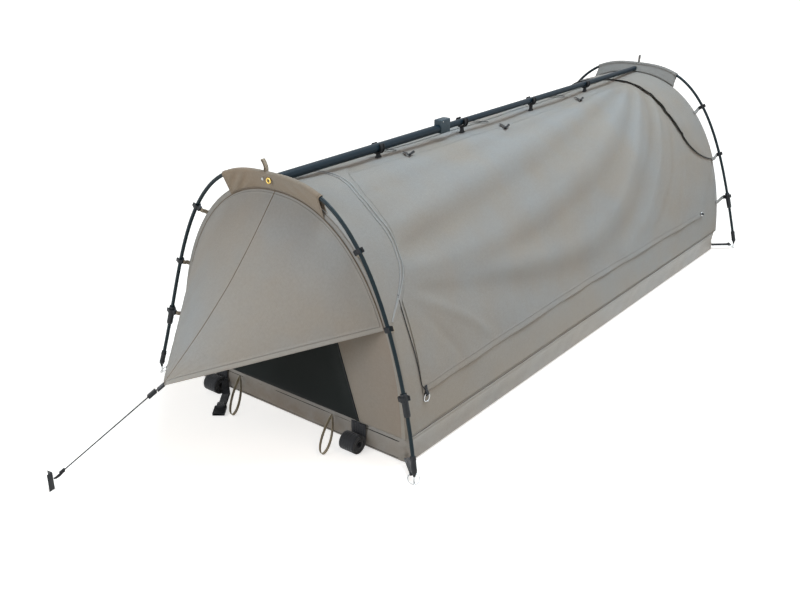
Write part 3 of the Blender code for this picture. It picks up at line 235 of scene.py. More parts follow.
def stitched(graph, rows):
    """Where thread shows, and the drawn-in groove beside it where shade is painted, from the seam map."""
    run, edge = graph.parts(graph.uv("seam"))[:2]
    shown, groove_and_shade = 0.0, 0.0
    for row in rows:
        beat = graph.math("FRACT", graph.math("DIVIDE", run, STITCH))
        dash = graph.times(graph.band(edge, row, THREAD_HALF), graph.math("LESS_THAN", beat, STITCH_SHARE))
        shown = graph.larger(shown, dash)
        groove_and_shade = graph.larger(groove_and_shade, graph.band(edge, row, GROOVE_SHADE_HALF))
    return shown, groove_and_shade


def canvas_material(name, colours, thread=(0.1, 0.1, 0.1), rows=(), weave=0.0011, rough=0.9, dust_and_shade=0.0,
                    coating=0.0, hem=0.0, dust_and_shade_colour=(0.36, 0.31, 0.24), dust_and_shade_height=0.20, side_share_of_front_shade=1.0,
                    near_end_share_of_awning_shade=1.0, sewn=0.5):
    """Plain weave cloth: mottled colour, yarns, creases, stitching, and dust with painted shade and warm
    bounce light near the ground.

    colours are the plain one, a warm one for valleys and a cool one for crests, so that the fold relief
    paints shade in the valleys and light on the crests.
    """
    graph = Finish(name)
    colour, warm, cool = colours
    across, along = graph.parts(graph.uv("weave"))[:2]
    spot = graph.place()
    turn = math.pi / weave
    warp, weft = (graph.math("COSINE", graph.times(way, turn)) for way in (across, along))
    knit = graph.math("POWER", graph.size(graph.times(warp, weft)), 0.7)
    stretches = ((900, 45, 1), (45, 900, 1))
    slub, cross = (graph.noise(graph.uv("weave"), 1.0, 2.0, 0.6, stretch) for stretch in stretches)
    yarn = graph.times(graph.plus(slub, cross), 0.5)
    cloud = graph.noise(spot, 3.1, 3.0, 0.55)
    patch = graph.noise(spot, 17.0, 4.0, 0.6)
    fleck = graph.noise(spot, 140.0, 2.0, 0.5)
    relief = graph.parts(graph.uv("relief"))[0]
    # The fold relief tips the mix to the cool colour on crests and the warm one in valleys: painted light and
    # shade.
    share = graph.plus(graph.span(cloud, 0.38, 0.62), graph.times(relief, 38.0))
    mixed = graph.mix(graph.span(share, 0.0, 1.0), warm, cool)
    base = graph.mix(graph.middle(patch, 0.0, 0.45), mixed, colour)
    value = graph.plus(graph.middle(yarn, 0.93, 1.07), graph.middle(fleck, -0.03, 0.03))
    value = graph.times(value, graph.span(knit, 0.0, 1.0, 0.93, 1.04))
    # Lighter on crests and darker in valleys: painted light and shade.
    value = graph.times(value, graph.span(relief, -0.014, 0.014, 0.90, 1.10))
    base = graph.mix(1.0, base, graph.node("CombineColor", value, value, value).outputs[0], "MULTIPLY")
    # Darker and browner towards the ground: part dust, part painted shade and painted warm bounce light; on
    # the tub most on its front face and left part, painted shade of the awning.
    if dust_and_shade:
        x, y, z = graph.parts(spot)
        level = graph.span(z, dust_and_shade_height, dust_and_shade_height * 0.25)
        level = graph.times(level, graph.span(x, *FRONT_SHADE_SPAN, side_share_of_front_shade, 1.0))
        level = graph.times(level, graph.span(y, *AWNING_SHADE_SPAN, near_end_share_of_awning_shade, 1.0))
        low = graph.times(level, graph.span(patch, 0.3, 0.6, 0.45, 1.0))
        base = graph.mix(graph.times(low, dust_and_shade), base, dust_and_shade_colour)
    crease = graph.node("TexVoronoi", None, None, 9.0, feature="DISTANCE_TO_EDGE")
    graph.plug(crease.inputs["Vector"], graph.node("Mapping", spot, None, (0.4, 0.2, 0.9)).outputs[0])
    normal = graph.bump(graph.noise(spot, 11.0, 5.0, 0.62), 0.0035, 0.30)
    normal = graph.bump(graph.span(crease.outputs["Distance"], 0.0, 0.05), 0.0004, 0.18, normal)
    normal = graph.bump(graph.plus(knit, graph.times(yarn, 0.8)), 0.00022, 0.5, normal)
    edge = graph.parts(graph.uv("seam"))[1]
    if hem:
        doubled = graph.span(edge, hem, hem - 0.0004)
        base = graph.mix(graph.times(doubled, 0.30), base, brighter(colour, 1.35))
    if rows:
        shown, groove_and_shade = stitched(graph, rows)
        # Painted shade in the drawn-in groove beside each stitch row.
        base = graph.mix(graph.times(groove_and_shade, sewn * 0.3), base, brighter(colour, 0.45))
        base = graph.mix(graph.times(shown, sewn), base, thread)
        normal = graph.bump(graph.math("SUBTRACT", graph.times(shown, 0.8), groove_and_shade), 0.0009, 0.7, normal)
        worn = graph.times(graph.span(edge, WORN_EDGE, 0.0), graph.span(fleck, 0.4, 0.6))
        base = graph.mix(graph.times(worn, 0.30), base, brighter(colour, 1.5))
    graph.set(Base_Color=base, Normal=normal, Roughness=graph.middle(patch, rough - 0.06, rough + 0.05))
    if coating:
        graph.set(Coat_Weight=coating, Coat_Roughness=0.36)
    return graph.set(Sheen_Weight=0.18, Sheen_Roughness=0.55, Specular_IOR_Level=0.25)


def plastic_material(name, colour, rough, grain=900.0, worn=0.25):
    """Moulded or painted stock with a fine grain, scuffs and lighter worn places."""
    graph = Finish(name)
    fine = graph.noise(graph.place(), grain, 3.0, 0.6)
    scuff = graph.noise(graph.place(), 60.0, 5.0, 0.7)
    base = graph.mix(graph.span(scuff, 0.45, 0.75, 0.0, worn), colour, brighter(colour, 3, 0.02))
    return graph.set(Base_Color=base, Roughness=graph.middle(scuff, rough - 0.08, rough + 0.14),
                     Normal=graph.bump(fine, 0.0002, 0.25), Specular_IOR_Level=0.35)


def pole_material(name, colour, rough, along):
    """A drawn rod or tube: streaks along it and scuffs."""
    graph = Finish(name)
    stretch = [700.0] * 3
    stretch[along] = 14.0
    streak = graph.noise(graph.place(), 1.0, 3.0, 0.6, stretch)
    scuff = graph.noise(graph.place(), 45.0, 5.0, 0.7)
    base = graph.mix(graph.middle(streak, 0.0, 0.5), colour, brighter(colour, 1.7))
    base = graph.mix(graph.span(scuff, 0.55, 0.8, 0.0, 0.10), base, (0.08, 0.10, 0.12))
    return graph.set(Base_Color=base, Roughness=graph.middle(streak, rough - 0.06, rough + 0.10),
                     Normal=graph.bump(streak, 0.0002, 0.25), Specular_IOR_Level=0.22)


def steel_material(name):
    """Steel drawn along Z, with a few dull stains."""
    graph = Finish(name)
    brushed = graph.noise(graph.place(), 1.0, 4.0, 0.6, (1500, 1500, 120))
    stain = graph.noise(graph.place(), 120.0, 4.0, 0.7)
    base = graph.mix(graph.span(stain, 0.5, 0.8, 0.0, 0.4), (0.62, 0.63, 0.64), (0.30, 0.27, 0.24))
    return graph.set(Base_Color=base, Metallic=1.0, Roughness=graph.middle(brushed, 0.20, 0.38),
                     Normal=graph.bump(brushed, 0.0001, 0.3))


def brass_material(name):
    """Tarnished brass."""
    graph = Finish(name)
    stain = graph.noise(graph.place(), 300.0, 4.0, 0.7)
    base = graph.mix(graph.span(stain, 0.4, 0.75, 0.0, 0.6), (0.78, 0.56, 0.16), (0.42, 0.26, 0.08))
    return graph.set(Base_Color=base, Metallic=1.0, Roughness=graph.middle(stain, 0.25, 0.45))


CHEVRON = 0.008
RIB = 0.0017


def webbing_material(name, colour):
    """Ribbed webbing: fine chevrons along the tape."""
    graph = Finish(name)
    across, along = graph.parts(graph.uv("weave"))[:2]
    column = graph.math("FRACT", graph.math("DIVIDE", across, CHEVRON))
    slant = graph.size(graph.math("SUBTRACT", column, 0.5))
    wave = graph.plus(graph.math("DIVIDE", along, RIB), graph.times(slant, 4.0))
    rib = graph.size(graph.math("SINE", graph.times(wave, math.pi)))
    fuzz = graph.noise(graph.place(), 700.0, 3.0, 0.6)
    pale = brighter(colour, 2.0, 0.006)
    base = graph.mix(graph.times(rib, 0.55), colour, pale)
    base = graph.mix(graph.span(fuzz, 0.5, 0.75, 0.0, 0.35), base, pale)
    normal = graph.bump(graph.plus(rib, graph.times(fuzz, 0.5)), 0.0005, 0.6)
    return graph.set(Base_Color=base, Normal=normal, Roughness=graph.middle(fuzz, 0.70, 0.90),
                     Sheen_Weight=0.3, Sheen_Roughness=0.4)


MESH_PITCH = 0.0014
BRAID_ALONG = 0.0016
BRAID_ROUND = 0.004


def mesh_material(name):
    """Insect mesh, made opaque: fine dark yarns over a darker ground that paints the shade of the tent's
    unlit inside, seen through the holes.
    """
    graph = Finish(name)
    across, along = graph.parts(graph.uv("weave"))[:2]
    yarn = graph.larger(graph.beats(across, MESH_PITCH), graph.beats(along, MESH_PITCH))
    yarn = graph.span(yarn, 0.80, 0.95)
    cloud = graph.noise(graph.place(), 6.0, 3.0, 0.5)
    # The darker colour between the yarns paints the shade inside the tent.
    base = graph.mix(yarn, (0.004, 0.005, 0.005), (0.016, 0.021, 0.020))
    base = graph.mix(graph.middle(cloud, 0.0, 0.35), base, (0.012, 0.015, 0.014))
    return graph.set(Base_Color=base, Normal=graph.bump(yarn, 0.0004, 0.5), Roughness=0.85,
                     Sheen_Weight=0.06, Sheen_Roughness=0.4, Specular_IOR_Level=0.2)


def rope_material(name):
    """Braided cord with a little fuzz."""
    graph = Finish(name)
    round_it, along = graph.parts(graph.uv("weave"))[:2]
    twist = graph.plus(graph.math("DIVIDE", along, BRAID_ALONG), graph.math("DIVIDE", round_it, BRAID_ROUND))
    fibre = graph.size(graph.math("SINE", graph.times(twist, math.pi)))
    fuzz = graph.noise(graph.place(), 900.0, 3.0, 0.6)
    base = graph.mix(graph.times(fibre, 0.6), (0.006, 0.007, 0.009), (0.026, 0.026, 0.028))
    base = graph.mix(graph.span(fuzz, 0.55, 0.75, 0.0, 0.4), base, (0.085, 0.082, 0.080))
    rough = graph.middle(fuzz, 0.7, 0.9)
    return graph.set(Base_Color=base, Normal=graph.bump(fibre, 0.0003, 0.6), Roughness=rough)


# A plain colour, then a warm one and a cool one, which the fold relief mixes as painted shade in valleys and
# painted light on crests.
GREIGE = ((0.324, 0.306, 0.279), (0.332, 0.296, 0.252), (0.312, 0.314, 0.307))
THREAD = (0.17, 0.155, 0.135)
CLOTHS = {
    "canvas": ("canvas_plain", GREIGE, dict(dust_and_shade=0.35)),
    "canvas_hem": ("canvas_hemmed", GREIGE, dict(thread=THREAD, rows=HEM_ROWS, dust_and_shade=0.35)),
    "canvas_seam": ("canvas_seamed", GREIGE, dict(thread=THREAD, rows=SEAM_ROWS, dust_and_shade=0.35)),
    "canvas_flap": ("canvas_flap", GREIGE,
                    dict(thread=THREAD, rows=FLAP_ROWS, dust_and_shade=0.35, hem=0.0160, sewn=0.9)),
    "binding": ("canvas_binding", ((0.38, 0.38, 0.37), (0.38, 0.37, 0.355), (0.37, 0.38, 0.385)), {}),
    "piping_brown": ("piping_brown", ((0.19, 0.145, 0.10), (0.19, 0.14, 0.10), (0.18, 0.145, 0.11)),
                     dict(weave=0.0008)),
    "tan": ("canvas_tan", ((0.296, 0.238, 0.180), (0.300, 0.222, 0.150), (0.282, 0.240, 0.190)),
            dict(thread=(0.14, 0.10, 0.07), rows=SEAM_ROWS)),
    "gusset": ("canvas_inner", ((0.295, 0.252, 0.208), (0.300, 0.245, 0.196), (0.282, 0.255, 0.222)),
               dict(thread=THREAD, rows=SEAM_ROWS, dust_and_shade=0.2)),
    "tan_grey": ("canvas_tan_grey", ((0.262, 0.253, 0.238), (0.264, 0.246, 0.222), (0.254, 0.254, 0.246)),
                 dict(thread=(0.16, 0.15, 0.14), rows=SEAM_ROWS)),
    # The tub darkens to brown towards its foot, most on its front face and left part: dust and painted shade
    # of the awning.
    "tub": ("tub_coated", ((0.318, 0.298, 0.270), (0.322, 0.288, 0.246), (0.308, 0.304, 0.292)),
            dict(weave=0.0014, rough=0.46, dust_and_shade=0.90, coating=0.32, dust_and_shade_colour=(0.176, 0.128, 0.084),
                 dust_and_shade_height=0.092, side_share_of_front_shade=0.15, near_end_share_of_awning_shade=0.45)),
    "ticking": ("ticking", ((0.085, 0.092, 0.105), (0.080, 0.082, 0.09), (0.085, 0.095, 0.11)), {}),
    "foam": ("foam_core", ((0.70, 0.66, 0.52), (0.70, 0.62, 0.46), (0.68, 0.66, 0.56)), {}),
    "piping": ("piping_black", ((0.012, 0.012, 0.014), (0.014, 0.013, 0.013), (0.012, 0.013, 0.016)),
               dict(weave=0.0008)),
}
MATERIALS = {key: canvas_material(name, colours, **settings)
             for key, (name, colours, settings) in CLOTHS.items()}
MATERIALS |= {
    "mesh": mesh_material("insect_mesh"),
    "webbing": webbing_material("webbing_black", (0.0045, 0.0052, 0.0075)),
    "tape": webbing_material("tape_tan", (0.26, 0.215, 0.160)),
    "tape_grey": webbing_material("tape_grey", (0.22, 0.215, 0.205)),
    "tape_olive": webbing_material("tape_olive", (0.275, 0.240, 0.175)),
    "pole": pole_material("pole_slate", (0.0040, 0.0135, 0.0185), 0.32, 2),
    "tube": pole_material("tube_slate", (0.0045, 0.0150, 0.0245), 0.38, 0),
    "plastic": plastic_material("plastic_black", (0.0050, 0.0066, 0.0092), 0.46, worn=0.10),
    "ferrule": plastic_material("ferrule_dark", (0.008, 0.010, 0.013), 0.42, grain=500.0, worn=0.10),
    "clamp": plastic_material("plastic_slate", (0.040, 0.062, 0.078), 0.50, worn=0.12),
    "steel": steel_material("steel_brushed"),
    "brass": brass_material("brass_eyelet"),
    "stud": plastic_material("stud_white", (0.62, 0.62, 0.60), 0.35, worn=0.0),
    "rope": rope_material("rope_black"),
}


# Mesh makers

def as_object(name, mesh, material):
    """An object of a mesh that rides the shelter, with its material and slot."""
    item = bpy.data.objects.new(name, mesh)
    bpy.context.scene.collection.objects.link(item)
    mesh.materials.append(MATERIALS[material])
    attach(item, "shelter")
    return item


@contextmanager
def editing(mesh, where=None):
    """An editable copy of a mesh, which takes the mesh's place at the end."""
    shape = bmesh.new()
    shape.from_mesh(mesh)
    yield shape
    if where:
        shape.transform(where)
    shape.to_mesh(mesh)
    shape.free()


def thicken(item, thickness):
    """Gives a sheet its thickness, inwards from its outer face."""
    step = item.modifiers.new("thickness", "SOLIDIFY")
    step.thickness = thickness
    step.offset = -1.0


def round_edges(item, width, segments, angle):
    step = item.modifiers.new("edges", "BEVEL")
    step.width = width
    step.segments = segments
    step.limit_method = "ANGLE"
    step.angle_limit = math.radians(angle)
    return step


def columns_of(*values):
    """Values side by side at each point of a grid or a line, from parts of its shape."""
    return np.stack(np.broadcast_arrays(*values), axis=-1)


def grid(name, points, weave, seam, material, thickness=0.0, closed=False, relief=None):
    """A sheet of quads through a grid of points, with its cloth, seam and relief maps.

    points is rows x columns x 3, weave and seam are rows x columns x 2, in
    metres. The outer face turns towards row step x column step. relief is how
    far each point stands in a crest, or below 0 in a valley; from it the
    cloth's colour paints light on crests and shade in valleys.
    """
    rows, columns = points.shape[:2]
    relief = np.zeros((rows, columns)) if relief is None else relief
    index = np.arange(rows * columns).reshape(rows, columns)
    if closed:
        index = np.concatenate([index, index[:, :1]], axis=1)
    quads = np.stack([index[:-1, :-1], index[1:, :-1], index[1:, 1:], index[:-1, 1:]], axis=-1).reshape(-1, 4)
    mesh = bpy.data.meshes.new(name)
    mesh.from_pydata(points.reshape(-1, 3).tolist(), [], quads.tolist())
    for layer_name, values in (("weave", weave), ("seam", seam), ("relief", columns_of(relief, relief))):
        layer = mesh.uv_layers.new(name=layer_name)
        flat = np.asarray(values, float).reshape(-1, 2)[quads.ravel()]
        layer.data.foreach_set("uv", flat.astype(np.float32).ravel())
    mesh.shade_smooth()
    mesh.update()
    item = as_object(name, mesh, material)
    if thickness:
        thicken(item, thickness)
    return item


def smooth(value):
    """0 to 1 with soft ends."""
    value = np.clip(value, 0.0, 1.0)
    return value * value * (3 - 2 * value)


def bell(value, width):
    """1 at 0, falling smoothly over a width to either side."""
    return np.exp(-(value / width) ** 2)


def arc_lengths(points):
    """Distances along each row of a grid of points, from its first column."""
    steps = np.linalg.norm(np.diff(points, axis=1), axis=2)
    return np.concatenate([np.zeros((len(points), 1)), np.cumsum(steps, axis=1)], axis=1)


def run_of(line):
    """Distances along a line of points."""
    return arc_lengths(np.asarray(line, float)[None])[0]


MARK_OFFSETS = (-0.0030, -0.0012, 0.0, 0.0012, 0.0030)
LEAST_STEP = 0.0009


def stations(length, step, marks=()):
    """Distances from 0 to length about a step apart, with more at each mark."""
    found = set(np.linspace(0.0, length, max(2, int(length / step)) + 1).tolist())
    found |= {mark + off for mark in marks for off in MARK_OFFSETS if 0.0 < mark + off < length}
    kept = [0.0]
    for value in sorted(found):
        if value - kept[-1] > LEAST_STEP:
            kept.append(value)
    kept[-1] = length
    return np.array(kept)


def band_mesh(name, line, side, width, thickness, material, steps=4):
    """A flat ribbon along a line of points; side is its width direction, or one at each point."""
    line = np.asarray(line, float)
    side = np.broadcast_to(np.asarray(side, float), line.shape)
    side = side / np.linalg.norm(side, axis=-1, keepdims=True)
    shares = np.linspace(-0.5, 0.5, steps + 1)
    points = line[None, :, :] + side[None, :, :] * shares[:, None, None] * width
    run = run_of(line)[None, :]
    weave = columns_of(shares[:, None] * width, run)
    seam = columns_of(run, (0.5 - np.abs(shares))[:, None] * width)
    return grid(name, points, weave, seam, material, thickness)


def tube_mesh(name, line, radius, material, sides=12, caps=True, lobes=0, twist=0.0, depth=0.0):
    """A round bar along points; lobes and twist lay it up as a rope."""
    line = [Vector(point) for point in line]
    radii = radius if hasattr(radius, "__len__") else [radius] * len(line)
    up = UP if abs((line[-1] - line[0]).normalized().z) < 0.9 else Vector((1, 0, 0))
    points, weave, run = [], [], 0.0
    for index, point in enumerate(line):
        way = (line[min(index + 1, len(line) - 1)] - line[max(index - 1, 0)]).normalized()
        up = (up - way * up.dot(way)).normalized()
        out = way.cross(up)
        if index:
            run += (point - line[index - 1]).length
        ring, marks = [], []
        for angle in np.linspace(0, 2 * math.pi, sides, endpoint=False):
            swell = 1.0 - depth * (1 - abs(math.cos(lobes / 2 * (angle - twist * run)))) if lobes else 1.0
            ring.append(point + (up * math.cos(angle) + out * math.sin(angle)) * radii[index] * swell)
            marks.append((angle * radii[index], run))
        points.append(ring)
        weave.append(marks)
    item = grid(name, np.array(points), weave, weave, material, closed=True)
    if caps:
        with editing(item.data) as shape:
            bmesh.ops.holes_fill(shape, edges=[edge for edge in shape.edges if edge.is_boundary], sides=0)
            bmesh.ops.recalc_face_normals(shape, faces=shape.faces)
        item.data.set_sharp_from_angle(angle=math.radians(50))
    return item


# Guy line

GUY_WAY = (PEG_PLACE - GUY_TIP).normalized()
GUY_SIDE = GUY_WAY.cross(UP).normalized()
GUY_START = GUY_TIP + GUY_WAY * 0.00105
STRAP_WIDTH = 0.018
STRAP_THICKNESS = 0.004
STRAP_GAP = 0.0003
PEG_ROOM = 0.013
ROPE_LAY = 0.013
KNOT_TURNS = 4
KNOT_PITCH = 0.0040
KNOT_START = 0.036
KNOT_RADIUS = 0.0037
KNOT_CORD = 0.0016
BIGHT_LENGTH = 0.034
BIGHT_SAG = 0.0045
BIGHT_RADIUS = 0.0027


def make_guy():
    first = GUY_START + GUY_WAY * (STRAP_LENGTH + STRAP_GAP)
    last = PEG_PLACE - GUY_WAY * PEG_ROOM
    path = [first.lerp(last, share) for share in np.linspace(0, 1, 301)]
    rope = tube_mesh("guy_rope_cord", path, ROPE_RADIUS, "rope", sides=18, lobes=3,
                     twist=2 * math.pi / ROPE_LAY, depth=0.16)
    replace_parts(rope, "guy_rope")
    knot = make_knot(last)
    sag = [last - GUY_WAY * BIGHT_LENGTH * (1 - share) - UP * BIGHT_SAG * math.sin(math.pi * share)
           for share in np.linspace(0, 1, 24)]
    bight = tube_mesh("guy_bight", sag, BIGHT_RADIUS, "rope")
    line = [GUY_START + GUY_WAY * STRAP_LENGTH * share for share in np.linspace(0, 1, 10)]
    strap = band_mesh("guy_webbing", line, GUY_SIDE, STRAP_WIDTH, STRAP_THICKNESS, "webbing")
    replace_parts(strap, "guy_strap")


def make_knot(end):
    """Turns of the cord round itself, just short of the peg."""
    line = []
    for turn in np.linspace(0, KNOT_TURNS, 24 * KNOT_TURNS + 1):
        angle = 2 * math.pi * turn
        out = GUY_SIDE * math.cos(angle) + GUY_SIDE.cross(GUY_WAY) * math.sin(angle)
        line.append(end - GUY_WAY * (KNOT_START - KNOT_PITCH * turn) + out * KNOT_RADIUS)
    return tube_mesh("guy_knot", line, KNOT_CORD, "rope", sides=10)


make_guy()


# The tunnel's shape, and the folds that every layer of cloth shares

def section_angle(height):
    return math.asin((height / CANVAS_HEIGHT) ** (RISE_POWER / 2))


HEM_ANGLE = section_angle(HEM_HEIGHT)
HOOD_ANGLE = section_angle(HOOD_HEIGHT)
BASE_ANGLE = section_angle(CANVAS_BASE)
SEAM_ANGLE = math.acos((SEAM_HALF_WIDTH / HALF_WIDTH) ** (SIDE_POWER / 2))
# A small step, for a slope or a normal
NUDGE = 0.0002


def plain_face(x, angle):
    """Points on the tunnel's outer face: angle 0 is right, 180 degrees is left."""
    x, angle = np.broadcast_arrays(np.asarray(x, float), np.asarray(angle, float))
    side = np.cos(angle)
    y = -np.sign(side) * HALF_WIDTH * np.abs(side) ** (2 / SIDE_POWER)
    z = CANVAS_HEIGHT * np.sin(angle) ** (2 / RISE_POWER)
    rise = (z - CANVAS_BASE) / (CANVAS_HEIGHT - CANVAS_BASE)
    slack = np.maximum(0.0, 1 - (x / HALF_LENGTH) ** 2)
    inward = SIDE_SAG * slack * np.sin(np.pi * np.clip(rise, 0.0, 1.0))
    y = y - np.sign(y) * np.minimum(inward, np.abs(y))
    z = z - RIDGE_SAG * slack * np.maximum(0.0, rise) ** 2
    return columns_of(x, y, z)


def face_normal(x, angle):
    along = plain_face(x + NUDGE, angle) - plain_face(x - NUDGE, angle)
    around = plain_face(x, angle + NUDGE) - plain_face(x, angle - NUDGE)
    out = np.cross(along, around)
    return out / np.linalg.norm(out, axis=-1, keepdims=True)


SECTION_ANGLES = np.linspace(QUARTER, BASE_ANGLE, 800)
SECTION_DOWN = run_of(plain_face(0.0, SECTION_ANGLES))


def slope_angle(angle):
    return QUARTER - np.abs(angle - QUARTER)


def down_from_ridge(angle):
    """Distance down the cloth from the ridge to an angle, on either side."""
    return np.interp(-slope_angle(angle), -SECTION_ANGLES, SECTION_DOWN)


def angle_at(down):
    return np.interp(down, SECTION_DOWN, SECTION_ANGLES)


# Drag folds between the rear crown and the front arch: crests and valleys as
# (x, distance down from the ridge), then height and half width
FOLDS = (
    (((-0.95, 0.265), (-0.5, 0.215), (0.0, 0.155), (0.4, 0.105), (0.78, 0.062)), 0.0050, 0.045),
    (((-0.95, 0.330), (-0.5, 0.292), (0.0, 0.240), (0.4, 0.165), (0.80, 0.075)), -0.0062, 0.042),
    (((-0.95, 0.380), (-0.5, 0.400), (0.0, 0.345), (0.3, 0.280), (0.55, 0.19), (0.82, 0.085)), 0.0060, 0.046),
    (((-0.95, 0.395), (-0.4, 0.468), (0.0, 0.430), (0.3, 0.370), (0.5, 0.28), (0.84, 0.100)), -0.0040, 0.036),
    (((-0.95, 0.405), (-0.6, 0.470), (-0.3, 0.525), (0.0, 0.550), (0.25, 0.50), (0.45, 0.39), (0.65, 0.24),
      (0.86, 0.11)), 0.0066, 0.048),
    (((-0.95, 0.420), (-0.6, 0.515), (-0.3, 0.600), (0.0, 0.640), (0.3, 0.585), (0.5, 0.465), (0.7, 0.30),
      (0.88, 0.13)), -0.0058, 0.050),
    (((0.2, 0.68), (0.5, 0.555), (0.65, 0.42), (0.78, 0.27), (0.90, 0.14)), 0.0046, 0.040),
    (((0.45, 0.69), (0.68, 0.53), (0.80, 0.37), (0.91, 0.18)), -0.0040, 0.034),
    (((0.70, 0.69), (0.82, 0.50), (0.88, 0.36), (0.93, 0.20)), 0.0034, 0.026),
    (((-0.97, 0.425), (-0.86, 0.49), (-0.72, 0.58), (-0.60, 0.68)), 0.0030, 0.020),
    (((-0.97, 0.44), (-0.90, 0.52), (-0.82, 0.62), (-0.76, 0.70)), -0.0024, 0.018),
    (((-0.95, 0.11), (-0.4, 0.085), (0.2, 0.055), (0.7, 0.035)), 0.0016, 0.022),
    (((-0.95, 0.16), (-0.4, 0.130), (0.2, 0.085), (0.7, 0.045)), -0.0020, 0.024),
)
RIDGE_CLIPS = (-0.649, -0.214, 0.224, 0.632)
SCALLOP = 0.0045
LEFT_DEPTH = 1.25
RIGHT_DEPTH = 1.50


def curve_through(knots, x):
    """A smooth curve through knots, held beyond its ends."""
    knots = np.array(knots)
    slopes = np.gradient(knots[:, 1], knots[:, 0])
    at = np.clip(x, knots[0, 0], knots[-1, 0])
    which = np.clip(np.searchsorted(knots[:, 0], at) - 1, 0, len(knots) - 2)
    start, end = knots[which], knots[which + 1]
    span = end[..., 0] - start[..., 0]
    t = (at - start[..., 0]) / span
    return ((1 + 2 * t) * (1 - t) ** 2 * start[..., 1] + t * (1 - t) ** 2 * span * slopes[which]
            + t ** 2 * (3 - 2 * t) * end[..., 1] + t ** 2 * (t - 1) * span * slopes[which + 1])


def drape(x, angle):
    """How far the cloth stands off the plain tunnel, along its normal."""
    x, angle = np.broadcast_arrays(np.asarray(x, float), np.asarray(angle, float))
    down = down_from_ridge(angle)
    left = angle > QUARTER
    place = np.where(left, x + 0.05 * np.sin(3.0 * x), x)
    depth = np.where(left, down * (1 + 0.05 * np.cos(4.0 * x)), down)
    total = np.zeros_like(x)
    for knots, height, half in FOLDS:
        narrow = half * (0.30 + 0.70 * smooth((0.95 - place) / 0.8) * smooth((place + 1.08) / 0.5))
        ends = smooth((place - knots[0][0] + 0.02) / 0.12) * smooth((knots[-1][0] - place + 0.02) / 0.10)
        total += height * bell(depth - curve_through(knots, place), narrow) * ends
    total *= np.where(left, LEFT_DEPTH, RIGHT_DEPTH)
    ripple = np.sin(place * 31 + down * 9) * 0.0007 + np.sin(place * 17 - down * 21) * 0.0009
    total += ripple * smooth(down / 0.15) * smooth((0.70 - down) / 0.1)
    scallop = np.zeros_like(x)
    for start, end in zip((-1.0,) + RIDGE_CLIPS, RIDGE_CLIPS + (1.0,)):
        scallop = np.maximum(scallop, np.sin(np.pi * np.clip((x - start) / (end - start), 0.0, 1.0)))
    total -= SCALLOP * scallop * bell(down, 0.07)
    return total * smooth((HALF_LENGTH - np.abs(x)) / 0.06) * smooth((SECTION_DOWN[-1] - down) / 0.07)


def cloth_points(x, angle, lift=0.0):
    """Points on a layer of cloth that lies a lift above the canopy's outer face."""
    return plain_face(x, angle) + face_normal(x, angle) * (drape(x, angle) + lift)[..., None]


def hem_lift(distance, width=0.0205, height=0.0009):
    """The doubled cloth of a hem whose fold lies at distance 0."""
    fold = 1 - np.exp(-np.maximum(distance, 0) / 0.0006)
    return height * fold * (1 - smooth((distance - width) / 0.0016))


def pucker(run, distance, seed, size=0.0004):
    """Small gathers along a sewn line."""
    beat = np.sin(run / 0.0105 * 2 * np.pi + seed + 1.3 * np.sin(run * 31 + seed))
    return size * beat * bell(distance, 0.016)


# Canopy, hoods and flies

FAR = 0.05
# How far a sleeve's edge and the clips' tabs stand off the plain tunnel over each hood, and their colour
HOOD_LIFTS = {-1: 0.0031, 1: 0.0062}
END_TAPES = {-1: "tape", 1: "tape_grey"}


def on_right(angle, side):
    """An angle on the right side, or its mirror image on the left."""
    return angle if side < 0 else math.pi - angle


def make_canopy():
    right = [angle_at(down) for down in stations(SECTION_DOWN[-1], 0.010)][::-1]
    angles = np.array(right + [math.pi - angle for angle in right[-2::-1]])
    xs, turns = np.meshgrid(np.linspace(-HALF_LENGTH, HALF_LENGTH, 116), angles, indexing="ij")
    distance = SECTION_DOWN[-1] - down_from_ridge(turns)
    gathers = pucker(xs, distance, 1.0, 0.0005) * (distance > 0.002)
    points = cloth_points(xs, turns) + face_normal(xs, turns) * gathers[..., None]
    edge = np.where(xs > -HALF_LENGTH + 0.11, np.minimum(distance, FAR), FAR)
    weave, seam = columns_of(xs, arc_lengths(points)), columns_of(xs, edge)
    item = grid("canopy_cloth", points, weave, seam, "canvas_seam", CANVAS, relief=drape(xs, turns))
    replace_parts(item, "canopy")


HOOD_DEPTHS = (0.170, 0.200)
HOOD_TURN_SHARES = (0.14, 0.09)
HOOD_POINTS = (0.120, -0.025)
HOOD_TIP = 0.015
HOOD_CURL = 0.018
FLY_LEAST = 0.085
FLY_REAR_SLANT = 0.140


def climb_of(angle):
    """0 at the hood's clips, 1 at the ridge."""
    return np.clip((slope_angle(angle) - HOOD_ANGLE) / (QUARTER - HOOD_ANGLE), 0.0, 1.0)


def hood_depth(angle, end):
    which = 0 if end < 0 else 1
    share = climb_of(angle)
    turn = 1 - np.exp(-share / HOOD_TURN_SHARES[which])
    return HOOD_TIP + (HOOD_DEPTHS[which] - HOOD_TIP) * turn + HOOD_POINTS[which] * share ** 6


def fly_front(angle):
    return -HALF_LENGTH + np.maximum(hood_depth(angle, -1) + PLY_GAP, FLY_LEAST)


def fly_rear(angle):
    below = np.clip((HOOD_ANGLE - slope_angle(angle)) / (HOOD_ANGLE - HEM_ANGLE), 0.0, 1.0)
    return HALF_LENGTH - CANVAS * 4 - FLY_REAR_SLANT * below


def panel_angles(low, high, step, marks_low=(), marks_high=()):
    """Angles from low to high on the right side, by distance down the cloth."""
    top, bottom = down_from_ridge(high), down_from_ridge(low)
    length = bottom - top
    marks = list(marks_low) + [length - mark for mark in marks_high]
    return np.array([angle_at(bottom - distance) for distance in stations(length, step, marks)])


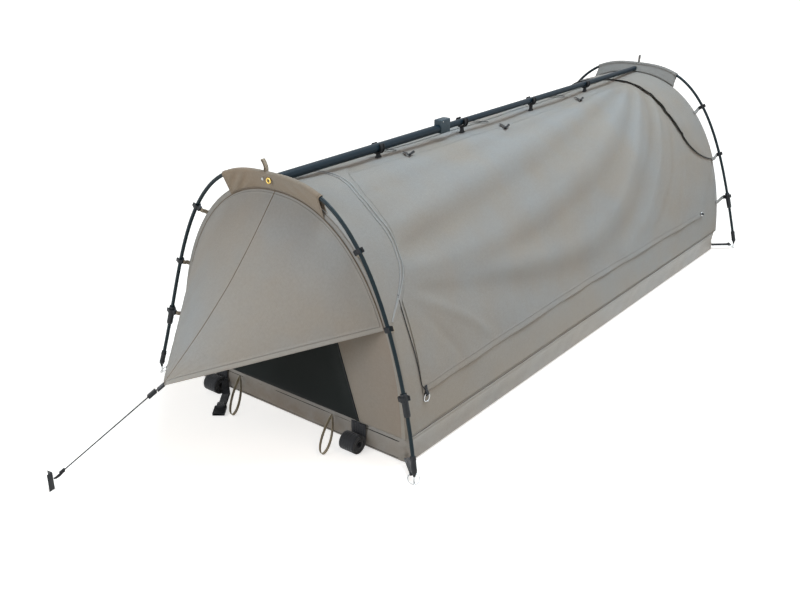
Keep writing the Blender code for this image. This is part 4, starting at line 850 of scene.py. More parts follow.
def make_fly(name, side):
    low = panel_angles(HEM_ANGLE, SEAM_ANGLE, 0.009, (0.001, 0.0205), (0.010,))
    ends = (0.0008, 0.0205, FLY_LENGTH - 0.0205, FLY_LENGTH - 0.0008)
    shares = stations(FLY_LENGTH, 0.016, ends) / FLY_LENGTH
    angles = low if side < 0 else math.pi - low[::-1]
    turns = np.broadcast_to(angles, (len(shares), len(angles)))
    start, end = fly_front(turns), fly_rear(turns)
    xs = start + (end - start) * shares[:, None]
    front, rear = xs - start, end - xs
    bottom = down_from_ridge(HEM_ANGLE) - down_from_ridge(turns)
    wave = 0.5 + 0.5 * np.sin(xs * 23 + 1.1 * np.sin(xs * 7.3) + side)
    lift = CANVAS + PLY_GAP * (0.5 + 0.5 * smooth(rear / 0.05)) + hem_lift(bottom)
    lift = lift + 0.0034 * wave * bell(bottom, 0.030) * smooth(front / 0.1) * smooth(rear / 0.1)
    lift = lift + pucker(xs, bottom - 0.0185, 0.4 * side, 0.0003)
    weave, seam = columns_of(xs, down_from_ridge(turns)), columns_of(xs, np.minimum(bottom, FAR))
    item = grid(f"side_fly_{name}_cloth", cloth_points(xs, turns, lift), weave, seam, "canvas_hem",
                CANVAS, relief=drape(xs, turns))
    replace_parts(item, f"side_fly_{name}")


def make_hood(end):
    name, which = ENDS[end], 0 if end < 0 else 1
    base = panel_angles(HOOD_ANGLE, QUARTER, 0.009, (0.001, 0.012))
    angles = np.concatenate([base, math.pi - base[-2::-1]])
    length = HOOD_DEPTHS[1]
    shares = stations(length, 0.010, (0.0008, 0.010, 0.0205, length - 0.010)) / length
    turns = np.broadcast_to(angles, (len(shares), len(angles)))
    climb = climb_of(turns)
    depth = hood_depth(turns, end) + (0.010 * np.sin(np.pi * climb) ** 2 if end > 0 else 0.0)
    inner = depth * (shares[:, None] if end < 0 else 1 - shares[:, None])
    free, run = depth - inner, down_from_ridge(turns)
    xs = end * (HALF_LENGTH - inner)
    lift = np.full_like(free, PLY_GAP + CANVAS)
    edge = np.where(run > 0.30, free, FAR)
    if end > 0:
        swell = np.maximum(0.0, np.sin(np.pi * climb)) ** 0.6
        share = np.clip(inner / depth, 0, 1)
        curl = HOOD_CURL * share ** 1.5 * swell * (1 - 0.5 * smooth((share - 0.70) / 0.30))
        ripple = 0.0012 * np.sin(climb * 29 + 0.7 * np.sign(turns - QUARTER)) * smooth(inner / 0.15) * swell
        lift = 2 * (PLY_GAP + CANVAS) + curl + ripple + hem_lift(free, 0.012, 0.0007)
        edge = free
    points = cloth_points(xs, turns, lift)
    item = grid(f"{name}_hood_cloth", points, columns_of(xs, run), columns_of(run, np.minimum(edge, FAR)),
                "canvas_seam", CANVAS)
    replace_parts(item, f"{name}_hood")
    if end > 0:
        line = points[0] - face_normal(xs[0], angles) * (CANVAS / 2) + np.array((-0.0012, 0, 0))
        tube_mesh("rear_hood_piping", line, REAR_PIPING_RADIUS, "piping", sides=10)


# Distance down from the ridge, then depth behind the arch
HOOD_LINE = ((0.0, 0.205), (0.066, 0.192), (0.14, 0.166), (0.19, 0.156), (0.227, 0.153), (0.259, 0.154),
             (0.297, 0.155), (0.327, 0.149), (0.356, 0.139), (0.383, 0.124), (0.406, 0.102), (0.434, 0.070),
             (0.455, 0.040), (0.474, 0.017))
HOOD_CORDS_APART = 0.0125
HOOD_CORD_RADIUS = 0.0021
REAR_PIPING_RADIUS = 0.0019


def make_hood_lines():
    """The two pale cords of the front hood's bound edge, from clip to clip."""
    knots = np.array(HOOD_LINE)
    down = np.linspace(0.0, knots[-1, 0], 90)
    depth = np.interp(down, knots[:, 0], knots[:, 1])
    for turn in range(6):
        depth[1:-1] = (depth[:-2] + depth[1:-1] * 2 + depth[2:]) / 4
    angle = angle_at(down)
    angles = np.concatenate([angle[::-1], math.pi - angle[1:]])
    depths = np.concatenate([depth[::-1], depth[1:]])
    downs = np.concatenate([down[::-1], down[1:]])
    for rank, apart in enumerate((0.0, HOOD_CORDS_APART)):
        x = -HALF_LENGTH + np.maximum(depths - apart * smooth((0.480 - downs) / 0.10), 0.006)
        line = cloth_points(x, angles, PLY_GAP + CANVAS + 0.0008 + 0.0012 * (x < -HALF_LENGTH + 0.02))
        tube_mesh(f"front_hood_cord_{rank + 1}", line, HOOD_CORD_RADIUS, "binding", sides=10)


make_canopy()
make_fly("right", -1)
make_fly("left", 1)
make_hood(-1)
make_hood(1)
make_hood_lines()


# Shapes that the remaining pieces share

def normals_of(points):
    """Unit normals of a grid of points, towards row step x column step."""
    out = np.cross(np.gradient(points, axis=0), np.gradient(points, axis=1))
    return out / np.maximum(np.linalg.norm(out, axis=-1, keepdims=True), 1e-12)


def resample(line, places):
    """Points at distances along a line of points."""
    line = np.asarray(line, float)
    run = run_of(line)
    return columns_of(*(np.interp(places, run, values) for values in line.T))


def flat_frame(origin, across, up):
    """Local X along across, local Y along up, local Z along their cross product."""
    across, up = Vector(across).normalized(), Vector(up).normalized()
    turn = Matrix((across, up, across.cross(up))).transposed().to_4x4()
    return Matrix.Translation(Vector(origin)) @ turn


def in_frame(where, path):
    """Points of a flat path, (across, up), placed by a frame."""
    return np.array([where @ Vector((across, up, 0.0)) for across, up in path])


def arc(centre, radius, start, end, steps):
    """Points on a flat arc, with angles in degrees."""
    turns = np.radians(np.linspace(start, end, steps + 1))
    return [(centre[0] + radius * math.cos(t), centre[1] + radius * math.sin(t)) for t in turns]


def smooth_path(knots, count):
    """A Catmull-Rom curve through flat knots."""
    knots = np.asarray(knots, float)
    padded = np.concatenate([[2 * knots[0] - knots[1]], knots, [2 * knots[-1] - knots[-2]]])
    found = []
    for place in np.linspace(0, len(knots) - 1, count):
        which = min(int(place), len(knots) - 2)
        t = place - which
        a, b, c, d = padded[which:which + 4]
        bend = (2 * a - 5 * b + 4 * c - d) * t ** 2 + (3 * b - 3 * c + d - a) * t ** 3
        found.append(0.5 * (2 * b + (c - a) * t + bend))
    return np.array(found)


def prism(name, outline, depth, where, bevel):
    """A plastic part: a flat outline, (across, up), extruded about its own plane, with rounded edges."""
    mesh = bpy.data.meshes.new(name)
    with editing(mesh, where) as shape:
        low, high = ([shape.verts.new((x, y, z)) for x, y in outline] for z in (-depth / 2, depth / 2))
        shape.faces.new(high)
        shape.faces.new(low[::-1])
        for index in range(len(outline)):
            after = (index + 1) % len(outline)
            shape.faces.new((low[index], low[after], high[after], high[index]))
        bmesh.ops.recalc_face_normals(shape, faces=shape.faces)
    item = as_object(name, mesh, "plastic")
    round_edges(item, bevel, 3, 40).harden_normals = True
    mesh.shade_smooth()
    mesh.set_sharp_from_angle(angle=math.radians(45))
    return item


# Awning

AWNING_SAG = 0.030
AWNING_INSET = 0.014
AWNING_PLANE = -HALF_LENGTH - 0.0036
AWNING_TIP_HALF = 0.014
AWNING_HEM = 0.016
AWNING_HEM_STEPS = np.array([0, 0.0008, 0.004, 0.0075, 0.011, 0.0138, 0.0152, 0.0162, 0.0176, 0.022])
AWNING_SEAM_STEPS = np.array([0, 0.0010, 0.0025, 0.0045, 0.0062, 0.0085, 0.012])
AWNING_SEAM_RADIUS = 0.0011


def awning_line(share, spread):
    """The plain flap between the arch, share 0, and the guy line's tip, share 1."""
    angle = QUARTER + spread * (QUARTER - HOOD_ANGLE)
    edge = plain_face(-HALF_LENGTH, angle) - face_normal(-HALF_LENGTH, angle) * AWNING_INSET
    edge[:, 0] = AWNING_PLANE
    tip = np.array(GUY_TIP) + np.array(GUY_SIDE) * (AWNING_TIP_HALF * spread)[:, None]
    points = edge + (tip - edge) * share
    sag = AWNING_SAG * math.sin(math.pi * share) * (1 - spread ** 2) / math.sqrt(2)
    points[:, 0] += sag
    points[:, 2] -= sag
    return points


def awning_columns(length, middle):
    """Distances across a row of the flap, close together at its hems and its seam."""
    scale = min(1.0, length / 0.20)
    hem = AWNING_HEM_STEPS * scale
    seam = np.concatenate([-AWNING_SEAM_STEPS[:0:-1], AWNING_SEAM_STEPS]) * scale + middle
    first = np.linspace(hem[-1], seam[0], 34)[1:-1]
    second = np.linspace(seam[-1], length - hem[-1], 34)[1:-1]
    return np.concatenate([hem, first, seam, second, length - hem[::-1]])


def make_awning():
    spreads = np.linspace(1.0, -1.0, 241)
    reach = float(np.linalg.norm(awning_line(0.0, np.zeros(1)) - awning_line(1.0, np.zeros(1))))
    shares = stations(reach, 0.0085, (0.0008, 0.0065, 0.0105)) / reach
    plain, across, edges = [], [], []
    for share in shares:
        line = awning_line(share, spreads)
        run = run_of(line)
        middle = float(np.interp(0.0, -spreads, run))
        places = awning_columns(run[-1], middle)
        plain.append(resample(line, places))
        across.append(places - middle)
        edges.append(np.minimum(places, run[-1] - places))
    plain, across, edges = np.array(plain), np.array(across), np.array(edges)
    centre = np.abs(across)
    down = np.broadcast_to((shares * reach)[:, None], edges.shape)
    taut = np.sin(np.pi * shares)[:, None]
    spread = across / np.maximum(centre.max(axis=1, keepdims=True), 1e-6)
    fan = np.sin(spread * 19 + 0.8) * 0.5 + np.sin(spread * 33 - 1.1) * 0.35 + np.sin(spread * 57) * 0.2
    lift = 0.0065 * np.exp(-centre / 0.050) * taut ** 0.7 + 0.0004 * bell(centre, 0.0016) * taut
    lift = lift + hem_lift(edges, AWNING_HEM, 0.0009) + hem_lift(down, 0.010, 0.0005)
    lift = lift + 0.0008 * fan * bell(1 - shares, 0.22)[:, None] * smooth(edges / 0.02)
    drag = np.sin((down * 0.9 + across * 0.75) * 46 + 1.5 * np.sin(across * 14))
    lift = lift + 0.0011 * drag * bell(across + 0.17, 0.13) * taut ** 2 * smooth(edges / 0.05)
    drag = np.sin((down * 0.8 - across * 0.8) * 51 + 1.2 * np.sin(across * 11))
    lift = lift + 0.0008 * drag * bell(across - 0.15, 0.12) * taut ** 2 * smooth(edges / 0.05)
    lift = lift + pucker(down, edges - 0.013, 0.7, 0.00035) + pucker(across, down - 0.006, 2.1, 0.0003)
    points = plain + normals_of(plain) * lift[..., None]
    seam = np.minimum(edges, down + 0.0060)
    seam = np.where(centre < 0.0095, np.minimum(seam, FLAP_ROWS[0] + centre), np.minimum(seam, FAR))
    run = np.where(down < 0.012, across, down)
    item = grid("awning_cloth", points, columns_of(across, down), columns_of(run, seam), "canvas_flap",
                CANVAS)
    middle = points[np.arange(len(points)), centre.argmin(axis=1)]
    tube_mesh("awning_seam", middle, AWNING_SEAM_RADIUS, "piping_brown", sides=8)
    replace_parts(item, "awning")


make_awning()


# Walls at the two ends

DOOR_SILL = 0.280
DOOR_TOP = 0.125
DOOR_HEIGHT = 0.600
DOOR_CORNER = 0.060
DOOR_LAP = 0.009
WALL_STANDOFF = 0.0018
WALL_COLUMNS = 181
ZIP_INSET = 0.006
ZIP_RADIUS = 0.0013
BINDING_STANDOFF = 0.0023
BINDING_INSET = 0.0068
BINDING_WIDTH = 0.0125
BINDING_THICKNESS = 0.0004
PIPING_STANDOFF = 0.0040
PIPING_INSET = 0.0135
PIPING_RADIUS = 0.0012


def door_line(lap, count=WALL_COLUMNS):
    """The doorway, (y, z), from its right foot over the top to its left foot."""
    lean = math.degrees(math.atan2(DOOR_HEIGHT - CANVAS_BASE, DOOR_SILL - DOOR_TOP))
    centre = (DOOR_TOP - DOOR_CORNER, DOOR_HEIGHT - DOOR_CORNER)
    left = arc(centre, DOOR_CORNER + lap, 90, 90 - lean, 16)
    line = [(-DOOR_SILL - lap, CANVAS_BASE), *[(-y, z) for y, z in left[::-1]], *left,
            (DOOR_SILL + lap, CANVAS_BASE)]
    return resample(line, np.linspace(0.0, run_of(line)[-1], count))


def end_line():
    """The tunnel's outline, (y, z), from its right foot over the ridge to its left foot."""
    line = plain_face(HALF_LENGTH, np.linspace(BASE_ANGLE, math.pi - BASE_ANGLE, 600))[:, 1:]
    return resample(line, np.linspace(0.0, run_of(line)[-1], WALL_COLUMNS))


def foot_line(line):
    """A level line, (y, z), at the foot of another."""
    y = np.linspace(line[0, 0] * 0.97, line[-1, 0] * 0.97, WALL_COLUMNS)
    return columns_of(y, CANVAS_BASE)


def panel(name, node, inner, outer, shares, x, way, bulge, material, thickness, from_outer):
    """A flat panel between two lines of (y, z) that faces way along X, pushed by bulge."""
    if way > 0:
        inner, outer = inner[::-1], outer[::-1]
    shares = np.asarray(shares)[:, None, None]
    flat = inner[None] * (1 - shares) + outer[None] * shares
    run = np.broadcast_to(run_of(outer), flat.shape[:2])
    total = np.linalg.norm(outer - inner, axis=1)[None]
    inside = total * shares[..., 0]
    outside = total - inside
    points = columns_of(x + way * bulge(flat, inside, outside), flat[..., 0], flat[..., 1])
    free = outside if from_outer else inside
    item = grid(name, points, flat, columns_of(run, np.minimum(free, FAR)), material, thickness)
    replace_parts(item, node)


def gusset(flat, inside, outside):
    soft = smooth(inside / 0.030) * smooth(outside / 0.030)
    wave = np.sin(flat[..., 1] * 38 + flat[..., 0] * 11) + np.sin(flat[..., 1] * 17 - flat[..., 0] * 29)
    return -soft * (0.0028 + 0.0009 * wave)


def billow(flat, inside, outside):
    return -0.009 * smooth(outside / 0.16) * smooth(inside / 0.10)


def slack_wall(flat, inside, outside):
    wave = np.sin(flat[..., 0] * 21 + 1.7 * np.sin(flat[..., 1] * 9)) * np.sin(flat[..., 1] * 13 + 0.4)
    return 0.0022 * wave * smooth(outside / 0.06) * smooth(inside / 0.05) + hem_lift(outside, 0.012, 0.0006)


def make_walls():
    outer, lap = end_line(), door_line(DOOR_LAP)
    shares = np.concatenate([[0, 0.004, 0.02, 0.05, 0.09], np.linspace(0.14, 0.92, 16), [0.97, 1.0]])
    panel("front_wall_cloth", "front_wall", door_line(0.0), outer, shares, -HALF_LENGTH - WALL_STANDOFF, -1,
          gusset, "gusset", CANVAS, False)
    panel("door_mesh_cloth", "door_mesh", foot_line(lap), lap, np.linspace(0.0, 1.0, 40), -HALF_LENGTH, -1,
          billow, "mesh", MESH, True)
    zip_x = -HALF_LENGTH - PLY_GAP
    zip_line = [(zip_x, y, z) for y, z in door_line(-ZIP_INSET, 240) if z > CANVAS_BASE + 0.004]
    tube_mesh("door_zip", zip_line, ZIP_RADIUS, "plastic", sides=8)
    shares = np.concatenate([np.linspace(0.0, 0.95, 44), [0.97, 0.985, 1.0]])
    panel("rear_wall_cloth", "rear_wall", foot_line(outer), outer, shares, HALF_LENGTH + WALL_STANDOFF, 1,
          slack_wall, "canvas_hem", CANVAS, True)


def make_arch_binding():
    """A flat tape of the tunnel's canvas round the front arch, outside the awning, and a thin piping."""
    line = end_line()
    way = np.gradient(line, axis=0)
    out = columns_of(0.0, -way[:, 1], way[:, 0])
    out /= np.linalg.norm(out, axis=1, keepdims=True)
    spots = columns_of(-HALF_LENGTH - BINDING_STANDOFF, line[:, 0], line[:, 1]) - out * BINDING_INSET
    band_mesh("front_arch_binding", spots, out, BINDING_WIDTH, BINDING_THICKNESS, "canvas")
    turns = QUARTER + np.linspace(-1.0, 1.0, 161) * (QUARTER - HOOD_ANGLE)
    edge = plain_face(-HALF_LENGTH, turns) - face_normal(-HALF_LENGTH, turns) * PIPING_INSET
    edge[:, 0] = -HALF_LENGTH - PIPING_STANDOFF
    tube_mesh("front_arch_piping", edge, PIPING_RADIUS, "piping_brown", sides=8)


make_walls()
make_arch_binding()


# Hoops: crowns, legs with their boots and pins, and ferrules

HOOP_STANDOFF = 0.020
FRONT_LEAN = 0.036
LEAN_POWER = 4
REAR_TOP_STANDOFF = 0.026
REAR_LEAN = 0.030
HOOP_SPLAY = 0.028
FERRULE_RADIUS = 0.0078
FERRULE_WALL = 0.0014
FERRULE_BELOW = 0.032
FERRULE_ABOVE = 0.028
BOOT_BOTTOM = 0.032
BOOT_TOP = 0.077
LEG_IN_BOOT = 0.02
LEG_GAP = 0.0006
PIN_RADIUS = 0.0030
CLIP_HEIGHTS = (HOOP_HEIGHT * 0.2869, HOOP_HEIGHT * 0.5464, HOOP_HEIGHT * 0.8033)
JOINT_HEIGHT = CLIP_HEIGHTS[0]
FERRULE_RADII = (FERRULE_RADIUS - 0.0006, *(FERRULE_RADIUS,) * 12, FERRULE_RADIUS - 0.0006)

# Height above the ground, then radius
BOOT = ((0.0325, 0.0060), (0.0335, 0.0074), (0.0390, 0.0078), (0.0400, 0.0085), (0.0415, 0.0085),
        (0.0425, 0.0078), (0.0660, 0.0078), (0.0670, 0.0085), (0.0685, 0.0085), (0.0695, 0.0078),
        (0.0755, 0.0078), (0.0768, 0.0070), (0.0772, 0.0058))
PIN = ((0.0004, 0.0010), (0.0016, 0.0024), (0.0040, 0.0030), (0.0200, 0.0030), (0.0335, 0.0030))
COLLAR = ((0.0230, 0.0032), (0.0235, 0.0037), (0.0320, 0.0040), (0.0335, 0.0046))


def hoop_drop(height):
    """1 at the ground, 0 at the hoop's top."""
    return np.maximum(0.0, 1 - np.asarray(height) / HOOP_HEIGHT)


def hoop_plane(end, height):
    drop = hoop_drop(height)
    if end < 0:
        return -HALF_LENGTH - HOOP_STANDOFF - FRONT_LEAN * drop ** LEAN_POWER
    return HALF_LENGTH + REAR_TOP_STANDOFF + REAR_LEAN * drop


def foot_splay(height):
    return HOOP_SPLAY * hoop_drop(height) ** LEAN_POWER


def hoop_point(side, height, end):
    """The pole's centre line: side -1 is right, end -1 is the door's hoop."""
    rise = (height / HOOP_HEIGHT) ** HOOP_RISE_POWER
    y = HOOP_HALF_WIDTH * max(0.0, 1 - rise) ** (1 / HOOP_SIDE_POWER) + float(foot_splay(height))
    return Vector((float(hoop_plane(end, height)), side * y, height))


def hoop_arc(end, start, finish, steps):
    found = []
    for angle in np.linspace(start, finish, steps + 1):
        height = HOOP_HEIGHT * max(0.0, math.sin(angle)) ** (2 / HOOP_RISE_POWER)
        reach = HOOP_HALF_WIDTH * abs(math.cos(angle)) ** (2 / HOOP_SIDE_POWER)
        y = -math.copysign(reach + float(foot_splay(height)), math.cos(angle))
        found.append(Vector((float(hoop_plane(end, height)), y, height)))
    return found


def make_hoop(end):
    low = math.asin((JOINT_HEIGHT / HOOP_HEIGHT) ** (HOOP_RISE_POWER / 2)) + 0.001
    name = f"{ENDS[end]}_hoop_crown"
    line = hoop_arc(end, low, math.pi - low, 200)
    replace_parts(tube_mesh(f"{name}_rod", line, POLE_RADIUS, "pole", sides=16), name)
    for side in (-1, 1):
        name = f"{ENDS[end]}_hoop_leg_{SIDES[side]}"
        heights = np.linspace(BOOT_TOP - LEG_IN_BOOT, JOINT_HEIGHT - LEG_GAP, 40)
        line = [hoop_point(side, height, end) for height in heights]
        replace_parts(tube_mesh(f"{name}_rod", line, POLE_RADIUS, "pole", sides=16), name)
        make_boot(name, end, side)
        heights = np.linspace(JOINT_HEIGHT - FERRULE_BELOW, JOINT_HEIGHT + FERRULE_ABOVE, len(FERRULE_RADII))
        line = [hoop_point(side, height, end) for height in heights]
        ferrule = tube_mesh(f"{name}_ferrule", line, FERRULE_RADII, "ferrule", sides=20, caps=False)
        thicken(ferrule, FERRULE_WALL)


def make_boot(name, end, side):
    """A moulded foot with two ribs, and the steel pin that stands in the corner's ring."""
    heights, radii = zip(*BOOT)
    line = [hoop_point(side, height, end) for height in heights]
    tube_mesh(f"{name}_boot", line, radii, "plastic", sides=20)
    foot = hoop_point(side, BOOT_BOTTOM, end)
    parts = (("pin", PIN, "steel", "steel"), ("collar", COLLAR, "plastic", "pole"))
    for part, shape, material, slot in parts:
        heights, radii = zip(*shape)
        line = [Vector((foot.x, foot.y, height)) for height in heights]
        tube_mesh(f"{name}_{part}", line, radii, material, sides=16)


make_hoop(-1)
make_hoop(1)


# Sleeves over the hoops' crowns

SLEEVE_HALF_WIDTH = 0.178
SLEEVE_ROOM = 0.0009
SLEEVE_TAIL = 0.012
SLEEVE_STANDOFF = 0.0038
SLEEVE_HEM = 0.010
EYELET_RADIUS = 0.0042
STUD_PLACE = np.array((0.024, 0.7170))
LOOP_TALL = 0.030
LOOP_WIDTH = 0.011
LOOP_THICKNESS = 0.0010


def crown_height(y):
    return HOOP_HEIGHT * (1 - np.abs(y / HOOP_HALF_WIDTH) ** HOOP_SIDE_POWER) ** (1 / HOOP_RISE_POWER)


def sleeve_section(end, y):
    """One strip of the sleeve, from the end wall's face round the pole to the hood."""
    reach = POLE_RADIUS + SLEEVE_ROOM + CANVAS
    height = float(crown_height(y))
    pole = np.array((float(hoop_plane(end, height)), y, height))
    step = NUDGE if y < 0 else -NUDGE
    slope = (float(crown_height(y + step)) - height) / step
    out = np.array((0.0, -slope, 1.0)) / math.hypot(slope, 1.0)
    angle = math.acos(-math.copysign((abs(y) / HALF_WIDTH) ** (SIDE_POWER / 2), y))
    seam = plain_face(end * HALF_LENGTH, angle) - face_normal(end * HALF_LENGTH, angle) * SLEEVE_TAIL
    seam[0] = end * (HALF_LENGTH + SLEEVE_STANDOFF)
    top = HOOD_LIFTS[end] + CANVAS
    inner_x = end * (HALF_LENGTH - CANVAS)
    inner = plain_face(inner_x, angle) + face_normal(inner_x, angle) * top
    outward = np.array((float(end), 0.0, 0.0))
    turns = np.radians(np.linspace(-20.0, 200.0, 26))
    ring = [pole + (outward * math.cos(t) + out * math.sin(t)) * reach for t in turns]
    line = [seam, seam * 0.65 + (pole + outward * reach) * 0.35, *ring, inner]
    run = run_of(line)
    low = np.linspace(0.0, run[2], 16)[:-1]
    round_pole = np.linspace(run[2], run[-2], 34)[:-1]
    return resample(line, np.concatenate([low, round_pole, np.linspace(run[-2], run[-1], 7)]))


def sleeve_creases(across, run, end):
    """Slanted drag folds to the left and right of the ridge."""
    left = np.sin((across * 0.8 - run * end) * 150) * bell(across - 0.125, 0.042)
    right = 0.4 * np.sin((across * 0.7 + run * end) * 130) * bell(across + 0.110, 0.05)
    rim = SLEEVE_HALF_WIDTH - np.abs(across)
    return (left + right) * smooth(run / 0.015) * smooth((0.065 - run) / 0.02) * smooth(rim / 0.02)


def make_sleeve(end):
    name = f"{ENDS[end]}_sleeve"
    places = stations(SLEEVE_HALF_WIDTH * 2, 0.0045, (0.0010, 0.0105)) - SLEEVE_HALF_WIDTH
    places = np.unique(np.round(np.concatenate([places, -places, np.linspace(-0.012, 0.012, 17)]), 4))
    places = places[np.concatenate([[True], np.diff(places) > 0.0008])]
    plain = np.array([sleeve_section(end, y) for y in places])
    if end < 0:
        plain, places = plain[::-1], places[::-1]
    run = arc_lengths(plain)
    across = np.broadcast_to(places[:, None], run.shape)
    rim = SLEEVE_HALF_WIDTH - np.abs(across)
    gather = np.sin(across * 150 + 1.9 * np.sin(across * 37)) * 0.6 + np.sin(across * 290 + 2.0) * 0.3
    belly = smooth((0.040 - run) / 0.02) * smooth(run / 0.010) * (0.5 + 0.5 * np.sin(across * 46 + 0.9))
    slant = sleeve_creases(across, run, end)
    lift = 0.00018 * gather * bell(run - 0.008, 0.012) + 0.0012 * belly * smooth(rim / 0.02)
    lift = lift + 0.0015 * slant + hem_lift(rim, SLEEVE_HEM, 0.0007)
    points = plain + normals_of(plain) * lift[..., None]
    seam = columns_of(np.where(rim < 0.012, run, across), np.minimum(np.minimum(rim, FAR), run + 0.0015))
    item = grid(f"{name}_cloth", points, columns_of(across, run), seam, "tan" if end < 0 else "tan_grey",
                CANVAS, relief=0.009 * slant)
    with editing(item.data) as shape:
        middles = [(face, face.calc_center_median()) for face in shape.faces]
        hole = [face for face, spot in middles if math.hypot(spot.y, spot.z - RIDGE_HEIGHT) < EYELET_RADIUS]
        bmesh.ops.delete(shape, geom=hole, context="FACES")
    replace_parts(item, name)
    rings = [make_eyelet(f"{name}_eyelet", points, end)]
    if end < 0:
        rings.append(make_stud(f"{name}_stud", points))
    rings.append(make_apex_loop(f"{name}_loop", end))


def near_x(points, y, z, reach):
    """The X values of a grid's points within reach of (y, z)."""
    flat = points.reshape(-1, 3)
    return flat[np.hypot(flat[:, 1] - y, flat[:, 2] - z) < reach, 0]


def make_eyelet(name, points, end):
    """A rolled metal ring round the hole that the ridge pole's spigot fills."""
    near = near_x(points, 0.0, RIDGE_HEIGHT, 0.010)
    face = near.min() if end < 0 else near.max()
    profile = ((0.0004, -0.0006), (0.0002, 0.0010), (0.0012, 0.0019), (0.0028, 0.0019), (0.0044, 0.0010),
               (0.0048, -0.0006))
    turns = np.linspace(0, 2 * math.pi, 40, endpoint=False)
    radius, out = (np.array(values)[:, None] for values in zip(*profile))
    radius = radius + EYELET_RADIUS
    rows = columns_of(face + end * out, radius * np.cos(turns), RIDGE_HEIGHT + radius * np.sin(turns))
    if end > 0:
        rows = rows[:, ::-1]
    marks = rows[..., 1:]
    return grid(name, rows, marks, marks, "brass", 0.0004, closed=True)


def make_stud(name, points):
    """A small pale snap stud beside the eyelet."""
    face = float(near_x(points, *STUD_PLACE, 0.008).min())
    line = [(face - out, *STUD_PLACE) for out in (-0.0004, 0.0006, 0.0014, 0.0018)]
    return tube_mesh(name, line, (0.0042, 0.0042, 0.0034, 0.0018), "stud", sides=20)


def make_apex_loop(name, end):
    """A doubled tape loop that stands up from the top of the sleeve."""
    place = 0.012 if end < 0 else -0.004
    lean = 0.010 if end < 0 else 0.002
    x, z = float(hoop_plane(end, HOOP_HEIGHT)), float(crown_height(place)) + 0.0073
    line = [(0.0036, 0.0), (0.0034, LOOP_TALL * 0.4), (0.0036 + lean * 0.5, LOOP_TALL * 0.75),
            (0.0030 + lean, LOOP_TALL - 0.002), (0.0008 + lean, LOOP_TALL + 0.0006),
            (-0.0018 + lean, LOOP_TALL - 0.001), (-0.0022 + lean * 0.5, LOOP_TALL * 0.7),
            (-0.0016, LOOP_TALL * 0.35), (-0.0018, 0.0)]
    spots = in_frame(flat_frame((x, place, z), (0, -end, 0), UP), smooth_path(line, 40))
    return band_mesh(name, spots, (1.0, 0.0, 0.0), LOOP_WIDTH, LOOP_THICKNESS, END_TAPES[end])


make_sleeve(-1)
make_sleeve(1)


# Tub and mattress

TUB_CORNER = 0.030
TUB_SKIN = 0.0018
TUB_RIM = 0.0782
RING_HEIGHT = 0.020
RING_REACH = 0.0324
RING_WIRE = 0.0018
CORNER_BEND = 0.0036
CORNER_PLY = 0.0017
CORNER_NOSE = 0.0021
CORNER_STRAP_WIDTH = 0.016
CORNER_STRAP_THICKNESS = 0.0015
MATTRESS_ROOM = 0.0045
COVER_HEIGHT = 0.0692
FOAM_INSET = 0.0022
FOAM_BASE = 0.0048
FOAM_HEIGHT = 0.0648
FOAM_CORNER = 0.032
EDGE_PIPING_OUT = 0.0010
EDGE_PIPING_RADIUS = 0.0015
EDGE_PIPING_HEIGHTS = {"10": 0.010, "62": 0.062}
PAD_CORNER = 0.034
PAD_BASE = 0.0026
PAD_CROWN = 0.0052

# Distance in from the tub's outer face, then height
TUB_PROFILE = ((0.022, 0.0), (0.018, 0.0), (0.014, 0.0), (0.0095, 0.0006), (0.0060, 0.0022),
               (0.0032, 0.0048), (0.0012, 0.0085), (0.0003, 0.0130),
               *((0.0, height) for height in np.linspace(0.018, 0.070, 16)),
               (0.0004, 0.0722), (0.0012, 0.0734), (0.0012, 0.0742), (0.0002, 0.0752), (0.0, 0.0775),
               (0.0002, 0.0790), (0.0010, 0.0797))


def perimeter(half_length, half_width, radius, step):
    """Points (x, y) anticlockwise round a rounded rectangle, with outward directions and run."""
    centres = [np.array((sx * (half_length - radius), sy * (half_width - radius)))
               for sx, sy in ((1, 1), (-1, 1), (-1, -1), (1, -1))]
    spots, outs = [], []
    for index, centre in enumerate(centres):
        for turn in np.radians(np.linspace(90 * index, 90 * index + 90, 9)):
            outs.append(np.array((math.cos(turn), math.sin(turn))))
            spots.append(centre + outs[-1] * radius)
        start, end = spots[-1], centres[(index + 1) % 4] + outs[-1] * radius
        for share in np.linspace(0, 1, int(float(np.linalg.norm(end - start)) / step) + 1)[1:-1]:
            spots.append(start + (end - start) * share)
            outs.append(outs[-1])
    spots, outs = np.array(spots), np.array(outs)
    return spots, outs, run_of(np.concatenate([spots, spots[:1]]))[:-1]


def profile_columns(profile):
    """A profile's insets, heights and run, each as a column."""
    inset, z = (np.array(values)[:, None] for values in zip(*profile))
    steps = np.hypot(np.diff(inset, axis=0), np.diff(z, axis=0))
    return inset, z, np.cumsum(np.concatenate([[[0.0]], steps]), axis=0)


def tub_sink(run, z, corner):
    """How far the tub's wall is drawn in, by distance to the nearest corner."""
    wall = smooth((z - 0.006) / 0.012) * smooth((0.072 - z) / 0.012)
    ripple = np.sin(run * 23 + 60 * z + 1.4 * np.sin(run * 6.1)) * 0.5
    ripple = ripple + np.sin(run * 61 - 90 * z + 1.1 * np.sin(run * 13)) * 0.25
    pleat = np.sin((corner * 0.9 + z * 1.1) * 210 + 0.6) * bell(corner, 0.10)
    sunk = wall * (0.0011 + 0.0011 * ripple + 0.0012 * (pleat + 1) * bell(corner, 0.10))
    sag = 0.0013 * bell(z - 0.045, 0.018) * (1 + np.sin(run * 4.1 + 0.5)) * wall
    return np.maximum(0.0, sunk + sag)


